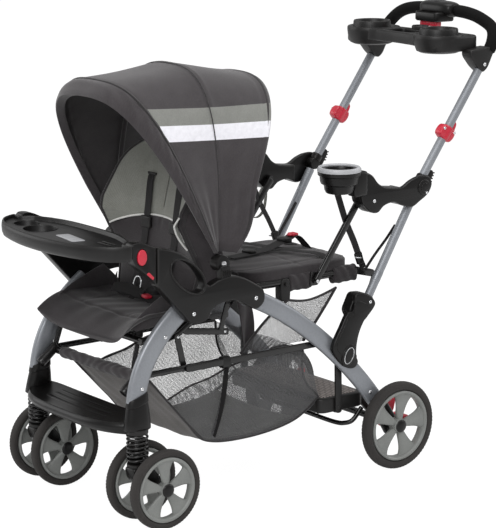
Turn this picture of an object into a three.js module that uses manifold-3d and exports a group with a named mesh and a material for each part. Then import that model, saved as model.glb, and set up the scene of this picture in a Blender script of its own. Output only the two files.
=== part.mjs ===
// A sit and stand stroller: a reclining front seat with a child tray and a canopy, a rear bench with a
// standing platform, a mesh basket, twin front casters on springs, and a folding handle with a parent tray.
// Millimetres. +X is the child's left, -Y is the front and +Z is up. Places in the side view are y and z.
import * as THREE from 'three';
import { mergeVertices } from 'three/addons/utils/BufferGeometryUtils.js';
import Module from 'manifold-3d';

const wasm = await Module();
wasm.setup();

// Driving sizes
const fit = 0.4; // clearance where one piece seats on another
const overrun = 2; // how far a cutting shape runs past what it cuts
const legX = 208; // middle of the leg and handle tubes, from the middle of the stroller
const middleY = -25; // middle of the overall length, which goes to y = 0

const rearPivot = { y: -210, z: 511 }; // rear legs on the armrests
const linkPivot = { y: 91, z: 316 }; // fold links on the rear legs
const elbow = { y: 338, z: 719 }; // upper handle on the lower tubes
const armRivet = { y: 172, z: 699 }; // struts on the arms
const strutFoot = { y: 32, z: 507 }; // struts beside the bench
const casterAxis = { x: 213.5, y: -533 };
const frontAxle = { y: -490, z: 96 };
const rearAxlePlace = { y: 252, z: 113 };
const handleRivet = { y: 548, z: 1007 }; // parent tray on the handle tubes

const frontWheelSize = {
  radius: 96, width: 24, rim: 78, rimWall: 8, web: 9, hub: 17, windowInner: 27, windowOuter: 69,
  windowAngle: 0.3, spokes: 5, sides: 24, hubSides: 10,
};
const rearWheelSize = {
  radius: 113, width: 28, rim: 90, rimWall: 9, web: 10, hub: 18, windowInner: 29, windowOuter: 80,
  windowAngle: 0.32, spokes: 5, sides: 24, hubSides: 10,
};
const frontTrack = { outer: 263, inner: 164 };
const rearTrack = 239;
const axle = { radius: 5, sides: 8 };
const boreGap = 0.6;

const leg = { thick: 24, frontWidth: 50, rearWidth: 45, sides: 10, steps: 7 };
const frontLegLine = { footZ: 298, bendY: -521, bendZ: 420, topY: -392, topZ: 508 };
const rearLegLine = {
  topY: -214, topZ: 510, upperY: -50, upperZ: 450, lowerY: 160, lowerZ: 268, footY: 259, footZ: 98,
};
const housing = { thick: 29, bevel: 3, tail: 26, drop: 37, brow: 3, sides: 36 };
const handHole = { halfLong: 56, halfShort: 27, turn: -0.69, sides: 14, alongShare: 0.41, upShare: 0.55 };
const boot = { halfX: 21, halfY: 34, bottom: 228, top: 318, flare: 6, lean: 0.3, sides: 12 };
const footrest = { halfWidth: 192, front: 612, sweep: 52, rear: 495, top: 262, lip: 250, dish: 8 };
const casterStem = { radius: 6, top: 284, bottom: 122 };
const springSize = { radius: 24, wire: 3.2, turns: 7, steps: 8, sides: 5, travel: 10 };
const fork = { thick: 40, headRadius: 24, top: 158, low: 122, axleBoss: 15, bevel: 4, sides: 16 };

const tubeSize = { radius: 11, sides: 12 };
const seatTube = {
  x: 155, radius: 9, sides: 8, rings: 10, front: 482, frontZ: 428, crossY: 474, bendY: 385, benchFront: 140,
  benchZ: 513, benchBend: 20, benchCross: 168, benchRear: 176,
};
const rail = { radius: 8, z: 352, front: 490.6, rear: 40, sides: 8 };
const basketTube = {
  y: 500, z: 345, radius: 9, sides: 8, capX: 179, capRadius: 12.5, capRise: 11, capReach: 48, capDrop: 27,
};
const basketSize = { halfWidth: 187, wall: 3, setBack: 35, rear: 60, deep: 190 };
const basketTop = rail.z - rail.radius - fit;
const basketFront = basketTube.y - basketSize.setBack;

const seatPad = {
  halfWidth: 164, front: 545, rear: 362, low: 439, thick: 34, drop: 26, rise: 10, crown: 9, lean: 0.5,
};
const seatHinge = { y: -338, z: 452, radius: 8, sleeve: 13, sides: 12 };
const backPad = {
  footHalf: 143, halfWidth: 152, height: 410, lean: 0.21, thick: 36, crown: 8, start: 8, arch: 100, crest: 60,
  footShare: 0.25, columns: 9, rows: 12,
};
const benchPad = { halfWidth: 143, front: 160, rear: 168, thick: 22, crown: 6 };
const benchLow = seatTube.benchZ + seatTube.radius + fit;

const canopyShell = {
  halfWidth: 219.6, reach: 458, peak: 448, rearAngle: 62, peakAngle: 88, frontAngle: 110.6, wall: 3,
  squareness: 3, start: 6, columns: 20, rows: 5,
};
const canopyBow = {
  halfWidth: 235, reach: 482, roll: 15, rearAngle: 111.6, frontAngle: 121, squareness: 3.4, start: 20.4,
  columns: 20, rows: 2,
};
const hub = { ahead: 86, up: 92, radius: 20, post: 13, footShare: 0.45, sides: 16 }; // from the rear pivot
const canopyPivot = { y: rearPivot.y - hub.ahead, z: rearPivot.z + hub.up };

const childTray = {
  halfWidth: 249, back: 567, front: 668, childEdge: 500, low: 641, high: 682, bevel: 3, gap: 1,
  dishX: -44, dishDepth: 12, dishShare: 0.89, sides: 36, wellSides: 16,
};
const smallWell = { x: -172, y: -582, radius: 31, depth: 30 };
const largeWell = { x: -97, y: -591, radius: 41, depth: 30 };
const trayButton = {
  inset: 28, drop: 30, halfY: 13, halfZ: 18, deep: 9, proud: 2, travel: 4, bevel: 1.5, sides: 14,
};
const armrestBox = {
  front: childTray.gap - childTray.back, rear: rearPivot.y + housing.tail,
  low: rearPivot.z - housing.drop, high: childTray.high + housing.brow,
};
const buttonPlace = { y: armrestBox.front + trayButton.inset, z: childTray.high - trayButton.drop };

const link = {
  thick: 15, bevel: 2, front: 47, rear: 89, drop: 32, rise: 156, footOut: 57, footUp: 92, ease: 8, sides: 26,
};
const linkBox = {
  front: linkPivot.y - link.front, rear: linkPivot.y + link.rear,
  low: linkPivot.z - link.drop, high: linkPivot.z + link.rise,
};
const arm = { cheek: 14, inner: 29, bevel: 2, front: 41, rear: 24, drop: 31, rise: 73, sides: 34 };
const armBox = {
  front: armRivet.y - arm.front, rear: elbow.y + arm.rear,
  low: armRivet.z - arm.drop, high: armRivet.z + arm.rise,
};
const knuckle = { radius: 16, gap: 1.4 };
const strut = { x: 178, radius: 8.5, bossRadius: 7, sides: 8 };
const cup = { x: 222, gap: 1, rise: 77, height: 71, rim: 52, lip: 8, wall: 8, taper: 6, floor: 5, sides: 16 };
const collar = {
  length: 50, wall: 5, placeShare: 0.43, tabRear: 22, tabFront: 10, tabDrop: 6, tabRise: 14, tabThick: 6,
};

const grip = { radius: 16, sides: 10, rings: 7, startShare: 0.305, endShare: 0.445 };
const handlePath = {
  shoulderY: 585, shoulderZ: 1060, cornerX: 190, cornerY: 601.6, cornerZ: 1092, rings: 40,
};
const handleTop = { sideX: 150, sideZ: 1114, innerX: 100, innerZ: 1125, y: 600, z: 1128 };
const parentTray = {
  lobeX: 130, ahead: 76, rise: 29, lobeRadius: 65, height: 46, rimRadius: 49, rimHeight: 15, wellRadius: 42,
  floor: 8, bridgeDrop: 30, bridgeFront: 48, bridgeRear: 56, shoulderDrop: 12, sides: 24,
};
const trayPlace = { y: handleRivet.y - parentTray.ahead, z: handleRivet.z + parentTray.rise };
const trayDeck = trayPlace.z + parentTray.height;
const trayRim = trayDeck + parentTray.rimHeight;
const bracket = { thick: 20, ahead: 43, behind: 14, drop: 7, root: 6 };
const bracketBox = {
  front: handleRivet.y - bracket.ahead, rear: handleRivet.y + bracket.behind,
  low: handleRivet.z - bracket.drop, high: trayPlace.z + bracket.root,
};
const consoleSize = { halfX: 56, depth: 40, height: 30, ahead: 6, drop: 4, waist: 0.72, rings: 7, sides: 14 };
const consolePlace = { y: handleTop.y - consoleSize.ahead, z: handleTop.z - consoleSize.drop };
const triggerSize = { halfX: 30, deep: 20, high: 14, ahead: 28, below: 30, travel: 8, boss: 6, bossRear: 8 };
const triggerPlace = { y: consolePlace.y - triggerSize.ahead, z: consolePlace.z - triggerSize.below };

const platformSize = { halfWidth: 189, front: 40, rear: 184, low: 165, high: 205, corner: 22, groove: 3 };
const hanger = { thick: 6, width: 20, topY: 92, topZ: 306, footY: 95, footZ: 172 };
const platformBar = {
  radius: 6, halfWidth: 150, bendX: 184, y: 128, z: 122, bendY: 146, bendZ: 130, topY: 176, topZ: 162,
  sides: 8, rings: 14,
};
const platformLug = { thick: 12, x: 150, width: 22, tail: 14, foot: 3 };
const axleTube = { radius: 9, sides: 10 };
const brake = { thick: 12, bevel: 1.5, x: 183, eye: 16, reach: 66, rise: 56, sides: 26 };

// Finishes
const finish = (color, roughness, metalness = 0) => new THREE.MeshStandardMaterial({
  color, roughness, metalness,
});
const finishes = {
  silver: finish(0xb9bcc0, 0.35, 0.8),
  frameGrey: finish(0x85878b, 0.5, 0.3),
  blackPlastic: finish(0x2b2a2a, 0.5),
  blackSteel: finish(0x1e1d1d, 0.4, 0.3),
  rubber: finish(0x3a3634, 0.8),
  wheelGrey: finish(0x7c7d7c, 0.45),
  charcoal: finish(0x4a4648, 0.95),
  mesh: finish(0x33342f, 0.95),
  red: finish(0xc21f35, 0.4),
  foam: finish(0x2a2826, 0.9),
};

// Solids
const weld = 1e-4; // points nearer than this are one point
const solidOf = (geometry) => {
  const bare = geometry.clone();
  bare.deleteAttribute('normal');
  bare.deleteAttribute('uv');
  const merged = mergeVertices(bare, weld);
  return new wasm.Manifold(new wasm.Mesh({
    numProp: 3,
    vertProperties: new Float32Array(merged.attributes.position.array),
    triVerts: new Uint32Array(merged.index.array),
  }));
};
const geometryOf = (solid) => {
  const mesh = solid.getMesh();
  const geometry = new THREE.BufferGeometry();
  geometry.setAttribute('position', new THREE.BufferAttribute(new Float32Array(mesh.vertProperties), 3));
  geometry.setIndex(new THREE.BufferAttribute(new Uint32Array(mesh.triVerts), 1));
  return geometry;
};
const join = (...geometries) => geometryOf(geometries.map(solidOf).reduce((sum, next) => sum.add(next)));
const common = (first, second) => geometryOf(solidOf(first).intersect(solidOf(second)));
const cut = (geometry, ...tools) => geometryOf(tools.map(solidOf).reduce((rest, tool) => rest.subtract(tool),
  solidOf(geometry)));

// A closed body through rings of points, with flat ends
const loft = (rings) => {
  const count = rings[0].length;
  const points = rings.flat();
  const faces = [];
  for (let ring = 0; ring < rings.length - 1; ring += 1) {
    for (let k = 0; k < count; k += 1) {
      const a = ring * count + k;
      const b = ring * count + (k + 1) % count;
      faces.push(a, b, b + count, a, b + count, a + count);
    }
  }
  for (const [ring, turned] of [[0, true], [rings.length - 1, false]]) {
    const flat = triangulate(rings[ring]);
    for (const [a, b, c] of flat) {
      const base = ring * count;
      faces.push(base + a, base + (turned ? c : b), base + (turned ? b : c));
    }
  }
  return outward(points, faces);
};
// The flat end of a ring is cut into triangles in the plane where the ring is widest
const triangulate = (ring) => {
  const normal = new THREE.Vector3();
  for (let k = 0; k < ring.length; k += 1) {
    normal.add(ring[k].clone().cross(ring[(k + 1) % ring.length]));
  }
  const size = [Math.abs(normal.x), Math.abs(normal.y), Math.abs(normal.z)];
  const drop = size.indexOf(Math.max(...size));
  const flat = ring.map((p) => new THREE.Vector2(...[[p.y, p.z], [p.z, p.x], [p.x, p.y]][drop]));
  const sign = [normal.x, normal.y, normal.z][drop];
  const order = THREE.ShapeUtils.triangulateShape(flat, []);
  return sign < 0 === THREE.ShapeUtils.isClockWise(flat) ? order.map(([a, b, c]) =>
    (THREE.ShapeUtils.isClockWise([flat[a], flat[b], flat[c]]) === THREE.ShapeUtils.isClockWise(flat)
      ? [a, b, c] : [a, c, b])) : order;
};
// Faces are turned so that the volume they enclose is positive
const outward = (points, faces) => {
  let volume = 0;
  for (let k = 0; k < faces.length; k += 3) {
    const [a, b, c] = [points[faces[k]], points[faces[k + 1]], points[faces[k + 2]]];
    volume += a.dot(b.clone().cross(c));
  }
  const index = volume < 0 ? faces.map((_, k) => faces[k - (k % 3) + [0, 2, 1][k % 3]]) : faces;
  const geometry = new THREE.BufferGeometry();
  const places = points.flatMap((p) => [p.x, p.y, p.z]);
  geometry.setAttribute('position', new THREE.Float32BufferAttribute(places, 3));
  geometry.setIndex(index);
  return geometry;
};

// An outline of y and z, drawn out along x from low to high, with its edges eased by a bevel
const slab = (outline, low, high, { bevel = 0, holes = [] } = {}) => {
  const shape = new THREE.Shape(outline.map(([y, z]) => new THREE.Vector2(y, z)));
  shape.holes = holes.map((hole) => new THREE.Path(hole.map(([y, z]) => new THREE.Vector2(y, z))));
  const geometry = new THREE.ExtrudeGeometry(shape, {
    depth: high - low - 2 * bevel, bevelEnabled: bevel > 0, bevelSize: bevel, bevelThickness: bevel,
    bevelOffset: -bevel, bevelSegments: 1, steps: 1,
  });
  geometry.translate(0, 0, low + bevel);
  const toSide = new THREE.Matrix4().makeBasis(
    new THREE.Vector3(0, 1, 0), new THREE.Vector3(0, 0, 1), new THREE.Vector3(1, 0, 0),
  );
  return geometry.applyMatrix4(toSide);
};
// An outline of x and y, drawn up from low to high
const plate = (outline, low, high, bevel = 0) => {
  const shape = new THREE.Shape(outline.map(([x, y]) => new THREE.Vector2(x, y)));
  const geometry = new THREE.ExtrudeGeometry(shape, {
    depth: high - low - 2 * bevel, bevelEnabled: bevel > 0, bevelSize: bevel, bevelThickness: bevel,
    bevelOffset: -bevel, bevelSegments: 1, steps: 1,
  });
  return geometry.translate(0, 0, low + bevel);
};
const smooth = (points, count) => new THREE.CatmullRomCurve3(
  points.map(([a, b]) => new THREE.Vector3(a, b, 0)), true, 'centripetal',
).getPoints(count).slice(0, -1).map((p) => [p.x, p.y]);
const ellipse = (a, b, halfA, halfB, sides, turn = 0) => Array.from({ length: sides }, (_, k) => {
  const angle = (2 * Math.PI * k) / sides;
  const [u, v] = [halfA * Math.cos(angle), halfB * Math.sin(angle)];
  return [a + u * Math.cos(turn) - v * Math.sin(turn), b + u * Math.sin(turn) + v * Math.cos(turn)];
});
const rounded = (corners, radius, steps = 3) => corners.flatMap((corner, k) => {
  const before = corners.at(k - 1);
  const after = corners[(k + 1) % corners.length];
  const ease = (other) => {
    const length = Math.hypot(other[0] - corner[0], other[1] - corner[1]);
    const share = Math.min(radius / length, 0.45);
    return [corner[0] + (other[0] - corner[0]) * share, corner[1] + (other[1] - corner[1]) * share];
  };
  const curve = new THREE.QuadraticBezierCurve(
    new THREE.Vector2(...ease(before)), new THREE.Vector2(...corner), new THREE.Vector2(...ease(after)),
  );
  return curve.getPoints(steps).map((p) => [p.x, p.y]);
});

// Shares of a box turned into places in the side view
const within = (shares, { front, rear, low, high }) => shares.map(([back, up]) => [
  front + back * (rear - front), low + up * (high - low),
]);

const vector = (x, y, z) => new THREE.Vector3(x, y, z);
const outwardMirror = (geometry) => {
  const flat = geometry.index ? geometry.clone() : mergeVertices(geometry);
  flat.scale(-1, 1, 1);
  const index = flat.index.array;
  flat.setIndex(Array.from(index, (_, k) => index[k - (k % 3) + [0, 2, 1][k % 3]]));
  return flat;
};
// A round bar between two points
const rod = (from, to, radius, sides = tubeSize.sides) => {
  const geometry = new THREE.CylinderGeometry(radius, radius, from.distanceTo(to), sides);
  const turn = new THREE.Quaternion().setFromUnitVectors(vector(0, 1, 0), to.clone().sub(from).normalize());
  const middle = from.clone().add(to).multiplyScalar(0.5);
  return geometry.applyQuaternion(turn).translate(middle.x, middle.y, middle.z);
};
// A bar along a curve, round unless a second half size is given across x
const bar = (curve, radius, sides, steps, across = radius) => {
  const ring = ellipse(0, 0, across, radius, sides);
  const section = new THREE.Shape(ring.map(([a, b]) => new THREE.Vector2(a, b)));
  return new THREE.ExtrudeGeometry(section, { extrudePath: curve, steps, bevelEnabled: false });
};
const curveThrough = (...points) => new THREE.CatmullRomCurve3(points, false, 'centripetal');
const box = (low, high) => new THREE.BoxGeometry(high.x - low.x, high.y - low.y, high.z - low.z)
  .translate((low.x + high.x) / 2, (low.y + high.y) / 2, (low.z + high.z) / 2);
const alongX = (place, low, high, radius, sides) => rod(
  vector(low, place.y, place.z), vector(high, place.y, place.z), radius, sides,
);

const stroller = new THREE.Group();
const add = (name, geometry, material) => {
  const mesh = new THREE.Mesh(geometry, material);
  mesh.name = name;
  stroller.add(mesh);
  return mesh;
};
// The same piece on both sides, mirrored for the right
const addPair = (name, geometry, material) => {
  add(`${name}_left`, geometry, material);
  add(`${name}_right`, geometry, material).scale.x = -1;
};

const legInner = legX - leg.thick / 2;
const legOuter = legX + leg.thick / 2;
const housingInner = legOuter + fit;

// Wheels: a tyre, and a rim, web and hub in one moulding, with its axle along x
const wheelRing = (outer, inner, width, sides) => {
  const shape = new THREE.Shape(ellipse(0, 0, outer, outer, sides).map(([a, b]) => new THREE.Vector2(a, b)));
  shape.holes = [new THREE.Path(ellipse(0, 0, inner, inner, sides).map(([a, b]) => new THREE.Vector2(a, b)))];
  return new THREE.ExtrudeGeometry(shape, { depth: width, bevelEnabled: false, steps: 1 })
    .translate(0, 0, -width / 2).rotateY(Math.PI / 2);
};
const wheelGeometry = (size) => {
  const spread = (2 * Math.PI) / size.spokes;
  const windows = Array.from({ length: size.spokes }, (_, k) => {
    const angle = spread * (k + 0.5);
    const corner = (radius, side) => [radius * Math.cos(angle + side * size.windowAngle),
      radius * Math.sin(angle + side * size.windowAngle)];
    return [corner(size.windowInner, -1), corner(size.windowOuter, -1), corner(size.windowOuter, 0),
      corner(size.windowOuter, 1), corner(size.windowInner, 1)];
  });
  const web = slab(ellipse(0, 0, size.rim - size.rimWall / 2, size.rim - size.rimWall / 2, size.sides),
    -size.web / 2, size.web / 2, { holes: windows });
  const rim = wheelRing(size.rim, size.rim - size.rimWall, size.width - 2 * fit, size.sides);
  const middle = rod(vector(-size.width / 2, 0, 0), vector(size.width / 2, 0, 0), size.hub, size.hubSides);
  const bore = rod(vector(-size.width, 0, 0), vector(size.width, 0, 0), axle.radius + boreGap, axle.sides);
  return cut(join(rim, web, middle), bore);
};
const tyreShares = [[0, -0.5], [0.5, -0.5], [1, -0.22], [1, 0.22], [0.5, 0.5], [0, 0.5]];
const tyreGeometry = (size) => {
  const inner = size.rim + fit;
  const profile = tyreShares.map(([out, side]) => new THREE.Vector2(
    inner + out * (size.radius - inner), side * size.width,
  ));
  return new THREE.LatheGeometry([...profile, profile[0]], size.sides).rotateZ(-Math.PI / 2);
};
const addWheel = (name, size, x, place) => {
  add(`${name}_tyre`, tyreGeometry(size), finishes.rubber).position.set(x, place.y, place.z);
  add(`${name}_wheel`, wheelGeometry(size), finishes.wheelGrey).position.set(x, place.y, place.z);
};

// Front legs: flat oval tubes from the footrest boots up to the armrests
const frontLegCurve = new THREE.QuadraticBezierCurve3(
  vector(legX, casterAxis.y, frontLegLine.footZ),
  vector(legX, frontLegLine.bendY, frontLegLine.bendZ),
  vector(legX, frontLegLine.topY, frontLegLine.topZ),
);
const frontLegShape = (grow) => bar(frontLegCurve, leg.frontWidth / 2 + grow, leg.sides, leg.steps,
  leg.thick / 2 + grow);
addPair('front_leg', frontLegShape(0), finishes.silver);

// Armrests: moulded side housings that carry the tray, the canopy hubs and the rear legs
const armrestShares = [
  [0, 0.89], [0.01, 1], [0.07, 1], [0.18, 0.92], [0.3, 0.87], [0.41, 0.76], [0.51, 0.59], [0.58, 0.43],
  [0.65, 0.47], [0.73, 0.5], [0.81, 0.47], [0.92, 0.36], [0.99, 0.25], [1, 0.12], [0.94, 0.05], [0.87, 0.1],
  [0.8, 0.19], [0.7, 0.2], [0.61, 0.15], [0.56, 0.03], [0.5, 0], [0.43, 0.02], [0.36, 0.16], [0.23, 0.41],
  [0.12, 0.62], [0.03, 0.77],
];
const armrestOutline = smooth(within(armrestShares, armrestBox), housing.sides);
const [[handHoleY, handHoleZ]] = within([[handHole.alongShare, handHole.upShare]], armrestBox);
const handHoleOutline = ellipse(handHoleY, handHoleZ, handHole.halfLong, handHole.halfShort, handHole.sides,
  handHole.turn);
const buttonPocket = (grow) => ellipse(buttonPlace.y, buttonPlace.z, trayButton.halfY + grow,
  trayButton.halfZ + grow, trayButton.sides);
const [[, hubFoot]] = within([[0, hub.footShare]], armrestBox);
const hubPost = [
  [canopyPivot.y - hub.post, hubFoot], [canopyPivot.y + hub.post, hubFoot],
  [canopyPivot.y + hub.post, canopyPivot.z], [canopyPivot.y - hub.post, canopyPivot.z],
];
const armrestTop = housingInner + housing.thick;
const armrest = cut(
  join(
    slab(armrestOutline, housingInner, armrestTop, { bevel: housing.bevel }),
    slab(hubPost, housingInner + housing.bevel, armrestTop - housing.bevel),
    alongX(canopyPivot, housingInner, armrestTop, hub.radius, hub.sides),
  ),
  slab(handHoleOutline, housingInner - overrun, armrestTop + overrun),
  slab(buttonPocket(fit), armrestTop - trayButton.deep - trayButton.travel, armrestTop + overrun),
);
addPair('armrest', armrest, finishes.blackPlastic);
addPair('tray_button', slab(buttonPocket(0), armrestTop - trayButton.deep, armrestTop + trayButton.proud,
  { bevel: trayButton.bevel }), finishes.red);

// Footrest: a dished moulding between two boots that hold the leg ends and the caster stems
const footrestAcrossShares = [-1, -0.8, -0.5, -0.2, 0.2, 0.5, 0.8, 1];
// Share from the front to the rear, share of the height, and share of the dish
const footrestSectionShares = [
  [0.04, 0, 0], [0, 0.45, 0], [0.05, 0.85, 0], [0.25, 1, 1], [0.6, 1, 1], [1, 1, 0], [1, 0, 0],
];
const footrestRings = footrestAcrossShares.map((share) => {
  const front = -footrest.front + footrest.sweep * share * share;
  const depth = -footrest.rear - front;
  const dish = footrest.dish * (1 - share * share);
  return footrestSectionShares.map(([back, up, dished]) => vector(
    share * footrest.halfWidth, front + back * depth,
    boot.bottom + up * (footrest.lip - boot.bottom) + back * up * (footrest.top - footrest.lip) - dished * dish,
  ));
});
const bootShares = [[0, 1.15], [0.3, 1.1], [0.65, 1], [1, 0.9]];
const bootRings = (side) => bootShares.map(([up, share]) => ellipse(
  side * casterAxis.x - side * (casterAxis.x - legX) * up, casterAxis.y + boot.flare * up,
  boot.halfX * Math.min(share, 1), boot.halfY * share, boot.sides,
).map(([x, y]) => vector(
  x, y, boot.bottom + up * (boot.top - boot.bottom) + up * boot.lean * (y - casterAxis.y),
)));
const stemBore = (side) => rod(
  vector(side * casterAxis.x, casterAxis.y, boot.bottom - overrun),
  vector(side * casterAxis.x, casterAxis.y, casterStem.top + springSize.travel + fit),
  casterStem.radius + boreGap,
);
add('footrest', cut(
  join(loft(footrestRings), loft(bootRings(1)), loft(bootRings(-1))),
  frontLegShape(fit), outwardMirror(frontLegShape(fit)), stemBore(1), stemBore(-1),
), finishes.blackPlastic);

// Casters: a sprung stem in each boot, a coil spring, and a fork that swivels on the stem
const casterPlace = (z) => vector(casterAxis.x, casterAxis.y, z);
const springLow = fork.top + springSize.wire + fit;
const springHigh = boot.bottom - springSize.wire - fit;
const springCurve = () => {
  const total = springSize.turns * springSize.steps;
  return Array.from({ length: total + 1 }, (_, k) => {
    const angle = (2 * Math.PI * k) / springSize.steps;
    return vector(springSize.radius * Math.cos(angle), springSize.radius * Math.sin(angle),
      springLow + ((springHigh - springLow) * k) / total);
  });
};
const springRings = springCurve().map((point, k) => {
  const angle = (2 * Math.PI * k) / springSize.steps;
  return ellipse(0, 0, springSize.wire, springSize.wire, springSize.sides).map(([out, up]) => vector(
    point.x + out * Math.cos(angle), point.y + out * Math.sin(angle), point.z + up,
  ));
});
const springGap = (springHigh - springLow) / springSize.turns - 2 * springSize.wire;
console.log(`least gap between spring turns ${springGap.toFixed(2)} mm`);
const forkBox = {
  front: casterAxis.y - fork.headRadius, rear: frontAxle.y + fork.axleBoss,
  low: frontAxle.z - fork.axleBoss, high: fork.top - fork.bevel,
};
const forkShares = [[0, 1], [0.02, 0.64], [0.63, 0.1], [0.82, 0], [1, 0.21], [0.89, 0.67], [0.59, 1]];
const forkBody = cut(
  join(
    slab(smooth(within(forkShares, forkBox), fork.sides), casterAxis.x - fork.thick / 2,
      casterAxis.x + fork.thick / 2, { bevel: fork.bevel }),
    rod(casterPlace(fork.low), casterPlace(fork.top), fork.headRadius),
    alongX(frontAxle, frontTrack.inner - frontWheelSize.width / 2 - overrun,
      frontTrack.outer + frontWheelSize.width / 2 + overrun, axle.radius, axle.sides),
  ),
  rod(casterPlace(casterStem.bottom - fit), casterPlace(fork.top + overrun), casterStem.radius + fit),
);
for (const [side, word] of [[1, 'left'], [-1, 'right']]) {
  const x = side * casterAxis.x;
  const stem = rod(vector(x, casterAxis.y, casterStem.bottom), vector(x, casterAxis.y, casterStem.top),
    casterStem.radius);
  add(`caster_stem_${word}`, stem, finishes.blackSteel);
  add(`caster_spring_${word}`, loft(springRings), finishes.blackSteel).position.set(x, casterAxis.y, 0);
  add(`caster_fork_${word}`, forkBody, finishes.blackPlastic).scale.x = side;
  addWheel(`front_outer_${word}`, frontWheelSize, side * frontTrack.outer, frontAxle);
  addWheel(`front_inner_${word}`, frontWheelSize, side * frontTrack.inner, frontAxle);
}

// Seat frame: one welded tube frame under both seats
const seatFront = { y: -seatTube.crossY, z: seatTube.frontZ };
const benchBack = { y: seatTube.benchCross, z: seatTube.benchZ };
const seatPlaces = [
  { y: -seatTube.front, z: seatTube.frontZ }, { y: -seatTube.bendY, z: seatTube.frontZ }, seatHinge, rearPivot,
  { y: -seatTube.benchFront, z: seatTube.benchZ }, { y: seatTube.benchBend, z: seatTube.benchZ },
  { y: seatTube.benchRear, z: seatTube.benchZ },
];
const seatSide = (side) => bar(curveThrough(
  ...seatPlaces.map((place) => vector(side * seatTube.x, place.y, place.z)),
), seatTube.radius, seatTube.sides, seatTube.rings);
const crossReach = legInner - fit;
add('seat_frame', join(
  seatSide(1), seatSide(-1),
  alongX(seatFront, -crossReach, crossReach, seatTube.radius, seatTube.sides),
  alongX(rearPivot, -crossReach, crossReach, seatTube.radius, seatTube.sides),
  alongX(benchBack, -seatTube.x, seatTube.x, seatTube.radius, seatTube.sides),
  alongX(seatHinge, -seatTube.x, seatTube.x, seatHinge.radius, seatHinge.sides),
), finishes.blackSteel);

// Basket: side rails, a front cross tube in the leg ends and a deep mesh bag
const railX = legInner - boreGap - rail.radius;
addPair('basket_rail', rod(vector(railX, -rail.front, rail.z), vector(railX, rail.rear, rail.z), rail.radius,
  rail.sides), finishes.blackSteel);
const capRod = (side) => rod(
  vector(side * basketTube.capX, -basketTube.y, basketTube.z + basketTube.capRise),
  vector(side * basketTube.capX, -basketTube.y - basketTube.capReach, basketTube.z - basketTube.capDrop),
  basketTube.capRadius,
);
add('basket_cross_tube', cut(
  join(
    alongX({ y: -basketTube.y, z: basketTube.z }, -legX, legX, basketTube.radius, basketTube.sides),
    capRod(1), capRod(-1),
  ),
  frontLegShape(fit), outwardMirror(frontLegShape(fit)),
), finishes.blackSteel);
// Share from the front to the rear, share of the depth, and share of the width low down
const bagShares = [
  [0, 0.06, 0.5], [0.12, 0.5, 0.8], [0.33, 0.97, 0.92], [0.6, 1, 1], [0.8, 0.9, 0.98], [0.95, 0.72, 0.9],
  [1, 0.5, 0.8],
];
// Half of a section: share of the half width, share of the height, and whether the width low down applies
const bagSideShares = [[1, 1, 0], [1, 0.5, 0], [0.93, 0.12, 1], [0.7, 0, 1]];
const bagRing = (share, fall, spread, inset, lift) => {
  const y = -basketFront + inset + share * (basketFront + basketSize.rear - 2 * inset);
  const half = basketSize.halfWidth - inset;
  const floor = basketTop - fall * basketSize.deep + inset;
  const rim = basketTop + lift;
  const wall = (side) => bagSideShares.map(([across, up, low]) => vector(
    side * across * (low ? spread : 1) * half, y, floor + up * (rim - floor),
  ));
  return [...wall(-1), vector(0, y, floor), ...wall(1).reverse()];
};
add('basket', cut(
  loft(bagShares.map(([share, fall, spread]) => bagRing(share, fall, spread, 0, 0))),
  loft(bagShares.map(([share, fall, spread]) => bagRing(share, fall, spread, basketSize.wall, overrun))),
), finishes.mesh);

// Cushions: crowned pads whose edges draw in
// place(v) is the middle of the under face at share v of the length, along(v) the way up from it and
// halfAt(v) half the width
const edgeShare = 0.35; // of the thickness, left at the sides
const drawnShare = 0.04; // of the half width, drawn in at the ends
const marginShare = 0.02; // of the length, over which the end faces stand
const underShare = 0.9; // of the half width, across the under face
const cushion = (halfAt, place, along, thick, crown, columns = 9, rows = 7) => {
  const rings = Array.from({ length: rows + 1 }, (_, j) => {
    const v = j / rows;
    const inside = Math.min(Math.max(v, marginShare), 1 - marginShare);
    const endEase = Math.pow(Math.sin(Math.PI * inside), edgeShare);
    const half = halfAt(v) * (1 - drawnShare + drawnShare * endEase);
    const top = Array.from({ length: columns }, (_, i) => {
      const u = -1 + (2 * i) / (columns - 1);
      const body = edgeShare + (1 - edgeShare) * Math.sqrt(1 - Math.pow(u, 4));
      const rise = (thick * body + crown * (1 - u * u)) * endEase;
      return place(v).addScaledVector(along(v), rise).setX(u * half);
    });
    const under = [1, 0, -1].map((u) => place(v).setX(u * underShare * halfAt(v)));
    return [...top, ...under];
  });
  return loft(rings);
};
const lip = (v) => Math.pow(1 - v, 6); // only near the front edge
add('seat_pad', cushion(() => seatPad.halfWidth, (v) => {
  const y = -seatPad.front + v * (seatPad.front - seatPad.rear);
  return vector(0, y, seatPad.low - seatPad.drop * lip(v) + seatPad.rise * lip(1 - v));
}, (v) => vector(0, -seatPad.lean * lip(v), 1), seatPad.thick, seatPad.crown), finishes.charcoal);
const backWay = vector(0, Math.sin(backPad.lean), Math.cos(backPad.lean));
const backFront = vector(0, -Math.cos(backPad.lean), Math.sin(backPad.lean));
const backPlace = (v) => vector(0, seatHinge.y, seatHinge.z).addScaledVector(backFront, -backPad.thick / 2)
  .addScaledVector(backWay, backPad.start + v * backPad.height);
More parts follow.
